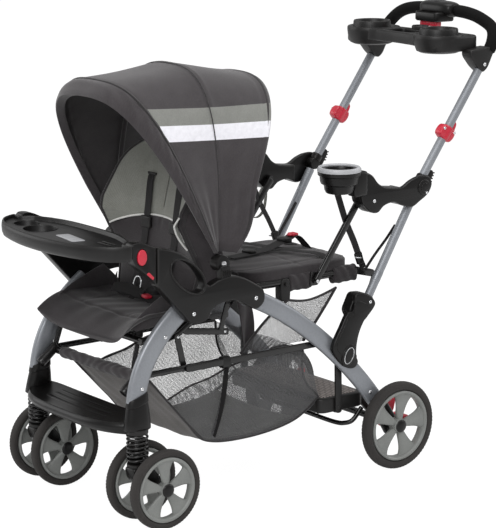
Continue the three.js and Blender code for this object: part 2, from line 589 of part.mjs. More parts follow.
// The seat back widens from its foot and closes in an arch over its top
const backHalf = (v) => {
  const spreadShare = Math.min(1, v / backPad.footShare);
  const half = backPad.footHalf + (backPad.halfWidth - backPad.footHalf) * spreadShare;
  const intoArch = Math.max(0, (v - 1) * backPad.height + backPad.arch) / backPad.arch;
  return Math.max(half * Math.sqrt(1 - intoArch * intoArch), backPad.crest);
};
add('seat_back', cut(
  join(
    cushion(backHalf, backPlace, () => backFront.clone(), backPad.thick, backPad.crown, backPad.columns,
      backPad.rows),
    alongX(seatHinge, -backPad.footHalf, backPad.footHalf, seatHinge.sleeve, seatHinge.sides),
  ),
  alongX(seatHinge, -backPad.halfWidth, backPad.halfWidth, seatHinge.radius + fit, seatHinge.sides),
), finishes.charcoal);
add('bench_pad', cushion(() => benchPad.halfWidth, (v) => vector(
  0, -benchPad.front + v * (benchPad.front + benchPad.rear), benchLow,
), () => vector(0, 0, 1), benchPad.thick, benchPad.crown), finishes.charcoal);

// Canopy: a fabric shell over fixed bows, and a padded front bow that folds back over it
const degrees = Math.PI / 180;
const bowPoint = (angle, u, halfWidth, reach, squareness, start) => {
  const across = Math.sign(Math.sin(u)) * Math.pow(Math.abs(Math.sin(u)), 2 / squareness) * halfWidth;
  const out = start + Math.pow(Math.abs(Math.cos(u)), 2 / squareness) * (reach - start);
  return vector(across, canopyPivot.y + out * Math.cos(angle), canopyPivot.z + out * Math.sin(angle));
};
const hood = (angles, reachAt, size, wall) => {
  const arch = (angle, inset) => Array.from({ length: size.columns + 1 }, (_, k) => bowPoint(
    angle, Math.PI * (k / size.columns - 0.5), size.halfWidth - inset, reachAt(angle) - inset,
    size.squareness, size.start,
  ));
  const rings = angles.map((angle) => [...arch(angle, 0), ...arch(angle, wall).reverse()]);
  return loft(rings);
};
const shellReach = (angle) => {
  const offPeak = Math.abs(angle / degrees - canopyShell.peakAngle);
  const share = offPeak / (canopyShell.peakAngle - canopyShell.rearAngle);
  return canopyShell.peak + (canopyShell.reach - canopyShell.peak) * Math.min(share, 1);
};
const anglesOf = ({ rearAngle, frontAngle, rows }) => Array.from({ length: rows + 1 }, (_, k) => (
  (rearAngle + ((frontAngle - rearAngle) * k) / rows) * degrees
));
add('canopy', hood(anglesOf(canopyShell), shellReach, canopyShell, canopyShell.wall), finishes.charcoal);
const bowReach = () => canopyBow.reach;
add('canopy_bow', hood(anglesOf(canopyBow), bowReach, canopyBow, canopyBow.roll), finishes.charcoal);

// Child tray: an arched tray with two cup wells and a shallow dish, plugged on the armrest fronts
// Shares of the half width, and of the way forward from the arms' ends or back to the child's edge
const trayFrontShares = [[1, 0], [0.93, 0.32], [0.68, 0.7], [0.36, 0.93]];
const trayChildShares = [[0.5, 0.88], [0.79, 0.45], [0.88, 0]];
const trayArc = (shares, reach) => shares.map(([across, out]) => [
  across * childTray.halfWidth, -childTray.back + out * reach,
]);
const trayFrontArc = trayArc(trayFrontShares, childTray.back - childTray.front);
const trayChildArc = trayArc(trayChildShares, childTray.back - childTray.childEdge);
const flip = (points) => points.map(([x, y]) => [-x, y]).reverse();
const trayOutline = smooth([
  ...trayFrontArc, [0, -childTray.front], ...flip(trayFrontArc),
  ...flip(trayChildArc), [0, -childTray.childEdge], ...trayChildArc,
], childTray.sides);
const trayMiddle = -(childTray.front + childTray.childEdge) / 2;
const dishOutline = trayOutline.map(([x, y]) => [
  childTray.dishShare * x, trayMiddle + childTray.dishShare * (y - trayMiddle),
]);
const dishRoom = box(
  vector(childTray.dishX, -childTray.front, childTray.high - childTray.dishDepth),
  vector(childTray.halfWidth, -childTray.childEdge, childTray.high + overrun),
);
const well = (place) => rod(vector(place.x, place.y, childTray.high - place.depth),
  vector(place.x, place.y, childTray.high + overrun), place.radius, childTray.wellSides);
add('child_tray', cut(
  plate(trayOutline, childTray.low, childTray.high, childTray.bevel),
  well(smallWell), well(largeWell),
  common(plate(dishOutline, childTray.low, childTray.high + overrun), dishRoom),
), finishes.blackPlastic);

// Rear legs: curved flat tubes from the armrests down to the axle
const rearLegCurve = new THREE.CubicBezierCurve3(
  vector(legX, rearLegLine.topY, rearLegLine.topZ), vector(legX, rearLegLine.upperY, rearLegLine.upperZ),
  vector(legX, rearLegLine.lowerY, rearLegLine.lowerZ), vector(legX, rearLegLine.footY, rearLegLine.footZ),
);
addPair('rear_leg', cut(
  bar(rearLegCurve, leg.rearWidth / 2, leg.sides, leg.steps + 3, leg.thick / 2),
  alongX(rearAxlePlace, legInner - overrun, legOuter + overrun, axle.radius + fit, axle.sides),
), finishes.frameGrey);
const axleReach = rearTrack + rearWheelSize.width / 2 + overrun;
add('rear_axle', join(
  alongX(rearAxlePlace, -crossReach, crossReach, axleTube.radius, axleTube.sides),
  alongX(rearAxlePlace, -axleReach, axleReach, axle.radius, axle.sides),
), finishes.blackSteel);
addWheel('rear_left', rearWheelSize, rearTrack, rearAxlePlace);
addWheel('rear_right', rearWheelSize, -rearTrack, rearAxlePlace);

// Standing platform, hung from the rear legs and lugged to the axle
const platformOutline = rounded([
  [-platformSize.halfWidth, platformSize.front], [platformSize.halfWidth, platformSize.front],
  [platformSize.halfWidth, platformSize.rear], [-platformSize.halfWidth, platformSize.rear],
], platformSize.corner);
const hangerPlate = (side) => {
  const half = hanger.width / 2;
  const outline = rounded([
    [hanger.footY - half, hanger.footZ - half], [hanger.footY + half, hanger.footZ - half],
    [hanger.topY + half, hanger.topZ + half], [hanger.topY - half, hanger.topZ + half],
  ], half, 2);
  const outer = side * (legInner - fit);
  const inner = side * (legInner - fit - hanger.thick);
  return slab(outline, Math.min(inner, outer), Math.max(inner, outer));
};
const platformEdge = legInner - fit - hanger.thick / 2;
const lugTop = platformSize.high - platformSize.groove;
const axleTop = rearAxlePlace.z + axleTube.radius;
const lugOutline = [
  [platformSize.rear - platformLug.width, platformSize.low], [platformSize.rear - platformLug.width, lugTop],
  [platformSize.rear, lugTop], [rearAxlePlace.y, axleTop + platformLug.tail], [rearAxlePlace.y, axleTop + fit],
  [rearAxlePlace.y - platformLug.tail, axleTop + platformLug.foot], [platformSize.rear, platformSize.low],
];
const lug = (side) => slab(lugOutline, side * platformLug.x - platformLug.thick / 2,
  side * platformLug.x + platformLug.thick / 2);
add('platform', join(
  plate(platformOutline, platformSize.low, platformSize.high, platformSize.groove),
  box(vector(-platformEdge, hanger.footY - hanger.width / 2, hanger.footZ - hanger.width / 2),
    vector(platformEdge, hanger.footY + hanger.width / 2, hanger.footZ + hanger.width / 2)),
  hangerPlate(1), hangerPlate(-1), lug(1), lug(-1),
), finishes.blackPlastic);
const barEnd = legInner - fit - platformBar.radius;
const barSide = (side) => [
  vector(side * barEnd, platformBar.topY, platformBar.topZ),
  vector(side * platformBar.bendX, platformBar.bendY, platformBar.bendZ),
  vector(side * platformBar.halfWidth, platformBar.y, platformBar.z),
];
add('platform_bar', bar(
  curveThrough(...barSide(-1), vector(0, platformBar.y, platformBar.z), ...barSide(1).reverse()),
  platformBar.radius, platformBar.sides, platformBar.rings,
), finishes.blackSteel);

// Brake levers turn on the axle tube beside the rear legs, so the flats of their bore stay clear of its corners
const turningBore = (tube) => (tube.radius + fit) / Math.cos(Math.PI / tube.sides);
const brakeBox = {
  front: rearAxlePlace.y - brake.eye, rear: rearAxlePlace.y + brake.reach,
  low: rearAxlePlace.z - brake.eye, high: rearAxlePlace.z + brake.rise,
};
const brakeShares = [
  [0, 0.22], [0.1, 0.45], [0.5, 1], [0.69, 1], [0.54, 0.53], [1, 0.38], [1, 0.07], [0.42, 0.07], [0.2, 0],
];
addPair('brake_lever', cut(
  slab(smooth(within(brakeShares, brakeBox), brake.sides), brake.x - brake.thick / 2, brake.x + brake.thick / 2,
    { bevel: brake.bevel }),
  alongX(rearAxlePlace, brake.x - brake.thick, brake.x + brake.thick, turningBore(axleTube), axleTube.sides),
), finishes.red);

// Handle: fold links, lower tubes, arms with the cup holder, struts and the upper handle
const lowerFoot = { y: linkPivot.y + link.footOut, z: linkPivot.z + link.footUp };
const tubeRod = (from, to, grow) => rod(vector(legX, from.y, from.z), vector(legX, to.y, to.z),
  tubeSize.radius + grow);
const towards = (from, to, length) => {
  const whole = Math.hypot(to.y - from.y, to.z - from.z);
  return { y: from.y + ((to.y - from.y) * length) / whole, z: from.z + ((to.z - from.z) * length) / whole };
};
const lowerTop = towards(elbow, lowerFoot, knuckle.radius + knuckle.gap);
const linkShares = [
  [0.41, 0], [0.54, 0.02], [0.58, 0.11], [0.55, 0.3], [0.59, 0.47], [0.75, 0.64], [0.88, 0.7], [1, 0.81],
  [0.97, 0.93], [0.78, 0.98], [0.54, 1], [0.41, 0.91], [0.31, 0.77], [0.16, 0.57], [0.01, 0.36], [0, 0.24],
  [0.09, 0.12], [0.25, 0.03],
];
const blockShares = [
  [0.32, 0.72], [0.54, 1], [0.78, 0.98], [0.97, 0.93], [1, 0.81], [0.88, 0.7], [0.71, 0.6], [0.49, 0.6],
];
const linkOutline = smooth(within(linkShares, linkBox), link.sides);
const blockOutline = rounded(within(blockShares, linkBox), link.ease, 2);
addPair('fold_link', cut(
  join(
    slab(linkOutline, housingInner, housingInner + link.thick, { bevel: link.bevel }),
    slab(blockOutline, legInner, housingInner + link.thick / 2),
  ),
  tubeRod(lowerFoot, lowerTop, fit),
), finishes.blackPlastic);
addPair('lower_tube', tubeRod(lowerFoot, lowerTop, 0), finishes.silver);

const armShares = [
  [0.01, 0.31], [0, 0.71], [0, 0.99], [0.07, 1], [0.15, 0.92], [0.24, 0.71], [0.34, 0.6], [0.47, 0.56],
  [0.58, 0.54], [0.69, 0.65], [0.82, 0.73], [0.95, 0.71], [1, 0.52], [0.96, 0.31], [0.83, 0.13], [0.71, 0.02],
  [0.59, 0.08], [0.45, 0.17], [0.32, 0.13], [0.23, 0], [0.14, 0.04], [0.06, 0.17],
];
// The inner cheek stops short of the knuckle
const armInnerShares = [
  [0.01, 0.31], [0, 0.71], [0, 0.97], [0.07, 0.98], [0.15, 0.9], [0.24, 0.7], [0.34, 0.59], [0.47, 0.55],
  [0.57, 0.53], [0.57, 0.12], [0.45, 0.18], [0.32, 0.14], [0.23, 0.02], [0.14, 0.06], [0.06, 0.19],
];
const tubeOuter = legX + tubeSize.radius + fit;
addPair('arm', join(
  slab(smooth(within(armShares, armBox), arm.sides), tubeOuter, tubeOuter + arm.cheek, { bevel: arm.bevel }),
  slab(within(armInnerShares, armBox), tubeOuter - arm.inner, tubeOuter + arm.cheek / 2,
    { bevel: arm.bevel }),
), finishes.blackPlastic);
const cupProfile = [
  [0, 0], [cup.rim - cup.taper - cup.wall, 0], [cup.rim - cup.wall, cup.height - 2 * cup.lip],
  [cup.rim, cup.height - cup.lip], [cup.rim, cup.height], [cup.rim - cup.wall, cup.height],
  [cup.rim - cup.wall - cup.taper, cup.floor], [0, cup.floor],
];
const cupPlace = { y: armBox.front - cup.gap - cup.rim, z: armRivet.z + cup.rise - cup.height };
add('cup_holder', new THREE.LatheGeometry(cupProfile.map(([r, z]) => new THREE.Vector2(r, z)), cup.sides)
  .rotateX(Math.PI / 2), finishes.blackPlastic).position.set(cup.x, cupPlace.y, cupPlace.z);

addPair('strut', join(
  rod(vector(strut.x, armRivet.y, armRivet.z), vector(strut.x, strutFoot.y, strutFoot.z), strut.radius,
    strut.sides),
  alongX(armRivet, strut.x, tubeOuter - arm.inner - fit, strut.bossRadius, strut.sides),
  alongX(strutFoot, seatTube.x + seatTube.radius + 2 * fit, strut.x, strut.bossRadius, strut.sides),
), finishes.blackSteel);

const collarPlace = {
  y: elbow.y + (handleRivet.y - elbow.y) * collar.placeShare,
  z: elbow.z + (handleRivet.z - elbow.z) * collar.placeShare,
};
const handleSide = (side) => [
  vector(side * legX, elbow.y, elbow.z), vector(side * legX, collarPlace.y, collarPlace.z),
  vector(side * legX, handleRivet.y, handleRivet.z),
  vector(side * legX, handlePath.shoulderY, handlePath.shoulderZ),
  vector(side * handlePath.cornerX, handlePath.cornerY, handlePath.cornerZ),
  vector(side * handleTop.sideX, handleTop.y, handleTop.sideZ),
  vector(side * handleTop.innerX, handleTop.y, handleTop.innerZ),
];
const handleCurve = curveThrough(
  ...handleSide(1), vector(0, handleTop.y, handleTop.z), ...handleSide(-1).reverse(),
);
class Stretch extends THREE.Curve {
  constructor(whole, from, to) {
    super();
    Object.assign(this, { whole, from, to });
  }

  getPoint(share, target = new THREE.Vector3()) {
    return this.whole.getPointAt(this.from + (this.to - this.from) * share, target);
  }
}
const knuckleRod = (side) => rod(vector(side * legX - tubeSize.radius, elbow.y, elbow.z),
  vector(side * legX + tubeSize.radius, elbow.y, elbow.z), knuckle.radius);
const sleeve = (from, to, radius, steps, sides) => bar(
  new Stretch(handleCurve, from, to), radius, sides, steps,
);
add('handle_tube', join(
  bar(handleCurve, tubeSize.radius, tubeSize.sides, handlePath.rings), knuckleRod(1), knuckleRod(-1),
), finishes.silver);
const handleBore = sleeve(0, 1, tubeSize.radius + fit, handlePath.rings, tubeSize.sides);
const gripShares = { left: [grip.startShare, grip.endShare], right: [1 - grip.endShare, 1 - grip.startShare] };
for (const [word, [from, to]] of Object.entries(gripShares)) {
  add(`grip_${word}`, cut(sleeve(from, to, grip.radius, grip.rings, grip.sides), handleBore), finishes.foam);
}

// Console in the middle of the handle, with the fold trigger under it
const consoleRings = Array.from({ length: consoleSize.rings }, (_, k) => {
  const share = -1 + (2 * k) / (consoleSize.rings - 1);
  const swell = consoleSize.waist + (1 - consoleSize.waist) * Math.cos((share * Math.PI) / 2);
  return ellipse(
    consolePlace.y, consolePlace.z, (consoleSize.depth / 2) * swell, (consoleSize.height / 2) * swell,
    consoleSize.sides,
  ).map(([y, z]) => vector(share * consoleSize.halfX, y, z));
});
const triggerBox = (grow, travel) => box(
  vector(-triggerSize.halfX - grow, triggerPlace.y - triggerSize.deep / 2 - grow, triggerPlace.z - grow),
  vector(triggerSize.halfX + grow, triggerPlace.y + triggerSize.deep / 2 + travel + grow,
    triggerPlace.z + triggerSize.high + grow),
);
const consoleBoss = box(
  vector(-triggerSize.halfX - triggerSize.boss, triggerPlace.y - triggerSize.boss / 2,
    triggerPlace.z + triggerSize.boss / 3),
  vector(triggerSize.halfX + triggerSize.boss, consolePlace.y + triggerSize.bossRear, consolePlace.z),
);
add('console', cut(
  join(loft(consoleRings), consoleBoss), handleBore, triggerBox(fit, triggerSize.travel),
), finishes.blackPlastic);
add('trigger', triggerBox(0, 0), finishes.red);

// Sliding release collars on the handle tubes
const along = vector(0, handleRivet.y - elbow.y, handleRivet.z - elbow.z).normalize();
const collarAt = (offset) => vector(legX, collarPlace.y, collarPlace.z).addScaledVector(along, offset);
addPair('release_collar', cut(
  join(
    rod(collarAt(-collar.length / 2), collarAt(collar.length / 2), tubeSize.radius + collar.wall),
    box(vector(legX - collar.tabThick / 2, collarPlace.y + collar.tabFront, collarPlace.z - collar.tabDrop),
      vector(legX + collar.tabThick / 2, collarPlace.y + collar.tabRear, collarPlace.z + collar.tabRise)),
  ),
  handleBore,
), finishes.red);

// Parent tray: two cup wells joined by a bridge, bracketed to the handle tubes
const lobe = (side, radius, low, high) => rod(vector(side * parentTray.lobeX, trayPlace.y, low),
  vector(side * parentTray.lobeX, trayPlace.y, high), radius, parentTray.sides);
const tubeInner = legX - tubeSize.radius - fit;
const bracketShares = [[0, 1], [0, 0.57], [0.46, 0], [0.75, 0], [1, 0.29], [1, 1]];
const bracketBlock = (side) => slab(
  rounded(within(bracketShares, bracketBox), bracket.root, 1),
  Math.min(side * tubeInner, side * (tubeInner - bracket.thick)),
  Math.max(side * tubeInner, side * (tubeInner - bracket.thick)),
);
const shoulder = (side) => box(
  vector(Math.min(side * parentTray.lobeX, side * tubeInner), bracketBox.front, trayPlace.z),
  vector(Math.max(side * parentTray.lobeX, side * tubeInner), bracketBox.rear,
    trayDeck - parentTray.shoulderDrop),
);
const trayWell = (side) => lobe(side, parentTray.wellRadius, trayPlace.z + parentTray.floor, trayRim + overrun);
add('parent_tray', cut(
  join(
    ...[1, -1].flatMap((side) => [
      lobe(side, parentTray.lobeRadius, trayPlace.z, trayDeck),
      lobe(side, parentTray.rimRadius, trayPlace.z, trayRim), shoulder(side), bracketBlock(side),
    ]),
    box(vector(-parentTray.lobeX, trayPlace.y - parentTray.bridgeFront, trayDeck - parentTray.bridgeDrop),
      vector(parentTray.lobeX, trayPlace.y + parentTray.bridgeRear, trayDeck)),
  ),
  trayWell(1), trayWell(-1), handleBore,
), finishes.blackPlastic);

stroller.position.y = -middleY;
export default stroller;
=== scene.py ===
import math

import bmesh
import bpy
import numpy as np
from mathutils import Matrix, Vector
from mathutils.geometry import tessellate_polygon


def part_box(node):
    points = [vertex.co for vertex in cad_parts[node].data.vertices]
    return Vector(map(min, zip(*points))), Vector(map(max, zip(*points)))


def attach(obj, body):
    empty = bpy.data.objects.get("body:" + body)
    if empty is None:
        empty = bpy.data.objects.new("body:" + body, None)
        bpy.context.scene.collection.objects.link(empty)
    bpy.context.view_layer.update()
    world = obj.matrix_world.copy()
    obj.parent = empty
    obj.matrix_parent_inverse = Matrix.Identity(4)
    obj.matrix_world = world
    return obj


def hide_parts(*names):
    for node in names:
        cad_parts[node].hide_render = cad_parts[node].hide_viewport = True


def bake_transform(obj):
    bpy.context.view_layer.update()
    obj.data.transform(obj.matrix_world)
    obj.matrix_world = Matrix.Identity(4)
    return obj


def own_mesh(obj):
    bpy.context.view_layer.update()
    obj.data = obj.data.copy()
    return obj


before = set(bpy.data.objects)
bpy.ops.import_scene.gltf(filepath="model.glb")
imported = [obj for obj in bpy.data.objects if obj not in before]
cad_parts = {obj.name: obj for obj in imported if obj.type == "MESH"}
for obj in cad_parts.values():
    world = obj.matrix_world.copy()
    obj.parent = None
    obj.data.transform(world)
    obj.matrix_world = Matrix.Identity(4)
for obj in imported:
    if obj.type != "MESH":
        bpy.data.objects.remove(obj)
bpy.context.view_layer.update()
print("frame read:", len(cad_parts), "solids")

# Sizes below are millimetres: x to the child's left, y to the back, z up. The axle shows how far
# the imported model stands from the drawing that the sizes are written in.
millimetre = 0.001
axleY = 252
axleLow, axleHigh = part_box("rear_axle")
drawingShift = Vector((0, (axleLow.y + axleHigh.y) / 2 - axleY * millimetre, 0))
sideSigns = {"left": 1, "right": -1}


def toFrame(points):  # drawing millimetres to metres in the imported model
    return np.asarray(points, float) * millimetre + np.array(drawingShift)


def linear(colour):  # "#rrggbb" in sRGB to linear light
    part = np.array([int(colour[k:k + 2], 16) for k in (1, 3, 5)]) / 255
    return (*np.where(part > 0.04045, ((part + 0.055) / 1.055) ** 2.4, part / 12.92), 1.0)


def unit(value):
    return np.clip(value, 0, 1)


def ridge(distance, width):  # 1 at no distance and smoothly down to nothing at about twice the width
    return np.exp(-(distance / width)**2)


def bent(wave, power):  # a cosine or sine that makes rounder corners as power falls below 1
    return np.sign(wave) * np.abs(wave)**power


def roundAngles(count):
    return np.arange(count) * 2 * np.pi / count


# Shapes: a shape is its points and its faces

# Neighbours in a grid of points joined by quads, wrapping round where a direction closes on itself
def gridFaces(rows, columns, wrapRows=False, wrapColumns=False):
    row = np.arange(rows if wrapRows else rows - 1)[:, None]
    column = np.arange(columns if wrapColumns else columns - 1)[None, :]
    nextRow, nextColumn = (row + 1) % rows, (column + 1) % columns
    corners = [row * columns + column, row * columns + nextColumn,
               nextRow * columns + nextColumn, nextRow * columns + column]
    return np.stack(corners, axis=-1).reshape(-1, 4).tolist()


def gridShape(points, wrapRows=False, wrapColumns=False, caps=False):
    rows, columns = points.shape[:2]
    faces = gridFaces(rows, columns, wrapRows, wrapColumns)
    if caps:
        faces += [list(range(columns)), list(range((rows - 1) * columns, rows * columns))]
    return points.reshape(-1, 3), faces


def joined(*shapes):
    starts = np.cumsum([0] + [len(points) for points, _ in shapes])
    faces = [[k + int(start) for k in face] for (_, some), start in zip(shapes, starts) for face in some]
    return np.concatenate([points for points, _ in shapes]), faces


def mirrored(shape):
    return flipSide(shape[0]), [face[::-1] for face in shape[1]]


def flipSide(points):
    return np.asarray(points, float) * np.array([-1, 1, 1])


# A smooth route through a few places: each stretch is a cubic whose slopes come from its neighbours
def smoothRoute(places, count, closed=False):
    places = np.asarray(places, float)
    if closed:
        around = np.concatenate([places[-1:], places, places[:2]])
    else:
        around = np.concatenate([2 * places[:1] - places[1:2], places, 2 * places[-1:] - places[-2:-1]])
    gaps = np.linalg.norm(np.diff(around, axis=0), axis=1) ** 0.5 + 1e-9
    stretches = len(around) - 3
    share = np.linspace(0, stretches, count, endpoint=not closed)
    k = np.minimum(share.astype(int), stretches - 1)
    t = (share - k)[:, None]
    before, step, after = gaps[k][:, None], gaps[k + 1][:, None], gaps[k + 2][:, None]
    a, b, c, d = around[k], around[k + 1], around[k + 2], around[k + 3]
    slopeB = ((b - a) / before - (c - a) / (before + step) + (c - b) / step) * step
    slopeC = ((c - b) / step - (d - b) / (step + after) + (d - c) / after) * step
    return (b * (2 * t**3 - 3 * t**2 + 1) + slopeB * (t**3 - 2 * t**2 + t)
            + c * (3 * t**2 - 2 * t**3) + slopeC * (t**3 - t**2))


def lengthAlong(route):
    return np.concatenate([[0], np.cumsum(np.linalg.norm(np.diff(route, axis=0), axis=1))])


def atLengths(route, place):
    far = lengthAlong(route)
    return np.stack([np.interp(place, far, route[:, k]) for k in range(route.shape[1])], axis=1)


def evenly(route, count):  # the same route, with its points at equal distances
    return atLengths(route, np.linspace(0, lengthAlong(route)[-1], count))


# Straight threads from each point of one route to the same point of another, and each thread's shares
def between(first, last, count):
    share = np.linspace(0, 1, count)[None, :, None]
    return first[:, None] * (1 - share) + last[:, None] * share, share[..., 0]


def bezier(places, count):  # one curve pulled by three or four places
    t = np.linspace(0, 1, count)[:, None]
    order = len(places) - 1
    return sum(math.comb(order, k) * (1 - t)**(order - k) * t**k * np.array(p, float)
               for k, p in enumerate(places))


# Round angles spread over a section whose corners fill out as power grows past 2
def ovalSection(halfA, halfB, sides, power=2.0):
    angle = roundAngles(sides)
    c, s = np.cos(angle), np.sin(angle)
    return np.stack([bent(c, 2 / power) * halfA,
                     bent(s, 2 / power) * halfB], axis=1)


# A section carried along a route: its first direction leans to side, its second is square to it
# and to the route, and both are scaled at each ring. A side that lies along the route gives way
# to the next axis.
def tube(route, radius, sides=16, side=(1, 0, 0), power=2.0, ease=0.0, closed=False, across=None):
    route = np.asarray(route, float)
    scale = np.ones(len(route))
    if ease and not closed:  # rounded ends: a quarter circle of rings inside each end
        far = lengthAlong(route)
        near = ease * (1 - np.cos(np.linspace(0, np.pi / 2, 5)))
        inside = far[(far > ease) & (far < far[-1] - ease)]
        place = np.concatenate([near, inside, far[-1] - near[::-1]])
        route = atLengths(route, place)
        reach = np.minimum(place, far[-1] - place).clip(0, ease)
        half = radius if across is None else min(radius, across)
        scale = 1 - (ease - np.sqrt(ease**2 - (ease - reach)**2)) / half
    tangent = np.gradient(route, axis=0)
    if closed:
        tangent = np.roll(route, -1, axis=0) - np.roll(route, 1, axis=0)
    tangent /= np.linalg.norm(tangent, axis=1)[:, None]
    side = np.array(side, float)
    if np.abs(tangent @ side).min() > 0.999 * np.linalg.norm(side):
        side = np.roll(side, 1)
    first = side - tangent * (tangent @ side)[:, None]
    first /= np.linalg.norm(first, axis=1)[:, None]
    second = np.cross(tangent, first)
    section = ovalSection(radius if across is None else across, radius, sides, power)
    rings = (route[:, None] + scale[:, None, None]
             * (section[None, :, :1] * first[:, None] + section[None, :, 1:] * second[:, None]))
    return gridShape(rings, wrapRows=closed, wrapColumns=True, caps=not closed)


def rod(start, end, radius, sides=16, ease=0.0, steps=2, **how):
    return tube(np.linspace(start, end, steps), radius, sides, ease=ease, **how)


# A profile of radius and height turned round an axis at a place
def revolved(profile, place, axis=(0, 0, 1), sides=32, closed=False):
    profile = np.asarray(profile, float)
    axis = np.array(axis, float) / np.linalg.norm(axis)
    first = np.cross(axis, (0, 1, 0) if abs(axis[1]) < 0.8 else (1, 0, 0))
    first /= np.linalg.norm(first)
    second = np.cross(axis, first)
    angle = roundAngles(sides)
    spoke = np.cos(angle)[:, None] * first + np.sin(angle)[:, None] * second
    points = (np.array(place, float) + profile[:, None, :1] * spoke[None]
              + profile[:, None, 1:] * axis)
    return gridShape(points, wrapRows=closed, wrapColumns=True)


def roundCorners(corners, radius, steps=5):  # each corner becomes a short curve
    corners = np.asarray(corners, float)
    curves = []
    for before, corner, after in zip(np.roll(corners, 1, 0), corners, np.roll(corners, -1, 0)):
        reach = [min(radius / np.linalg.norm(end - corner), 0.48) for end in (before, after)]
        curves.append(bezier([corner + (before - corner) * reach[0], corner,
                              corner + (after - corner) * reach[1]], steps))
    return np.concatenate(curves)


def boxOutline(low, high, radius, steps=6):
    return roundCorners([low, (high[0], low[1]), high, (low[0], high[1])], radius, steps)


def outwards(loop):  # the way square to a closed loop at each of its points
    around = np.roll(loop, -1, 0) - np.roll(loop, 1, 0)
    normal = np.stack([around[:, 1], -around[:, 0]], 1) / np.linalg.norm(around, axis=1)[:, None]
    area = np.sum(loop[:, 0] * np.roll(loop[:, 1], -1) - loop[:, 1] * np.roll(loop[:, 0], -1))
    return normal * np.sign(area)


def tessellated(loops):  # fills a flat loop around its holes
    return tessellate_polygon([[Vector((*p, 0)) for p in loop] for loop in loops])


# A flat piece: its outline in two directions and its thickness in the third, with every rim eased
# by a quarter circle. In the side plane the outline is y and z and the thickness x.
def plate(outline, low, high, ease=2.0, holes=(), plane="side", steps=3):
    loops = [np.asarray(outline, float)] + [np.asarray(hole, float) for hole in holes]
    turn = np.linspace(0, np.pi / 2, steps + 1)
    inset, rise = ease * (1 - np.sin(turn)), ease * (1 - np.cos(turn))
    rows = np.concatenate([np.stack([inset, low + rise], 1), np.stack([inset, high - rise], 1)[::-1]])
    shapes, rims, count = [], [[], []], 0
    for index, loop in enumerate(loops):
        out = outwards(loop) * (1 if index == 0 else -1)
        flat = loop[None] - rows[:, :1, None] * out[None]
        height = np.broadcast_to(rows[:, 1:, None], flat.shape[:2] + (1,))
        shapes.append(gridShape(np.concatenate([flat, height], 2), wrapColumns=True))
        for rim, row in ((0, 0), (1, len(rows) - 1)):
            rims[rim].append((flat[row], count + row * len(loop)))
        count += len(rows) * len(loop)
    points, faces = joined(*shapes)
    for rim in rims:
        numbers = np.concatenate([np.arange(len(flat)) + start for flat, start in rim])
        faces += [[int(numbers[k]) for k in corner] for corner in tessellated([flat for flat, _ in rim])]
    order = {"side": [2, 0, 1], "top": [0, 1, 2], "front": [0, 2, 1]}[plane]
    return points[:, order], faces


def oval(centre, halfA, halfB, count=32, turn=0.0, power=2.0):
    flat = ovalSection(halfA, halfB, count, power)
    c, s = math.cos(turn), math.sin(turn)
    return np.array(centre, float) + flat @ np.array([[c, s], [-s, c]])


def block(low, high, ease=2.0):  # a box with eased edges
    return plate(boxOutline(low[:2], high[:2], ease * 1.5, 4), low[2], high[2], ease, plane="top")


# Makes the mesh, turns its faces outwards and hangs it on its body
def addPiece(name, shape, body, slotName, material, replaced=(), sharp=38, uv=None, modifiers=(),
             outward=True, other=None, faceMaterials=None, materials=()):
    points, faces = shape
    mesh = bpy.data.meshes.new(name)
    mesh.from_pydata(toFrame(points).tolist(), [], faces)
    if uv is not None:
        layer = mesh.uv_layers.new(name="cloth")
        corner = np.zeros(len(mesh.loops), int)
        mesh.loops.foreach_get("vertex_index", corner)
        layer.data.foreach_set("uv", (np.asarray(uv, float)[corner] * millimetre).ravel())
    if faceMaterials is not None:
        mesh.polygons.foreach_set("material_index", np.asarray(faceMaterials, np.int32))
    if outward:
        work = bmesh.new()
        work.from_mesh(mesh)
        bmesh.ops.remove_doubles(work, verts=work.verts, dist=1e-6)
        bmesh.ops.recalc_face_normals(work, faces=work.faces)
        work.to_mesh(mesh)
        work.free()
    mesh.shade_smooth()
    mesh.set_sharp_from_angle(angle=math.radians(sharp))
    piece = bpy.data.objects.new(name, mesh)
    bpy.context.scene.collection.objects.link(piece)
    for one in materials or (material,):
        mesh.materials.append(one)
    for kind, settings in modifiers:
        modifier = piece.modifiers.new(kind.title(), kind)
        for key, value in settings.items():
            setattr(modifier, key, value)
    if other is None:
        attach(piece, body)
    else:
        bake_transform(piece)
    if replaced:
        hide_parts(*replaced)
    return piece


# How far each point of a sheet lies along its columns and its rows, which is the cloth's own drawing
def clothDrawing(sheet):
    rows, columns = sheet.shape[:2]
    steps = [np.linalg.norm(np.diff(sheet, axis=k), axis=2) for k in (0, 1)]
    along = np.concatenate([np.zeros((1, columns)), np.cumsum(steps[0], 0)])
    across = np.concatenate([np.zeros((rows, 1)), np.cumsum(steps[1], 1)], 1)
    return across - across[:, columns // 2][:, None], along


# Hangs a sheet on its body with its thickness, and gives it the cloth's own drawing as its coordinates. A
# lined sheet has its lining as the last material, shown on the side that its faces turn away from.
def addCloth(name, sheet, body, slotName, material, restsOn, thick=1.6, flipped=False, lined=0,
             held="hung", extra=(), replaced=(), **how):
    across, along = clothDrawing(sheet)
    points, faces = gridShape(sheet)
    if flipped:
        faces = [face[::-1] for face in faces]
    solid = {"thickness": thick * millimetre, "offset": 0, "material_offset": lined, "use_rim": True}
    piece = addPiece(name, (points, faces), body, slotName, material, replaced, outward=False, sharp=70,
                     uv=np.stack([across, along], 2).reshape(-1, 2), modifiers=[("SOLIDIFY", solid)], **how)
    return piece


# The same sheet on both sides. The name of what it rests on may have {} for the side's word.
def addClothPair(name, sheet, body, slotName, material, restsOn):
    for word, sign in sideSigns.items():
        addCloth(f"{name}_{word}", sheet * np.array([sign, 1, 1]), body, slotName, material,
                 [restsOn.format(word)])


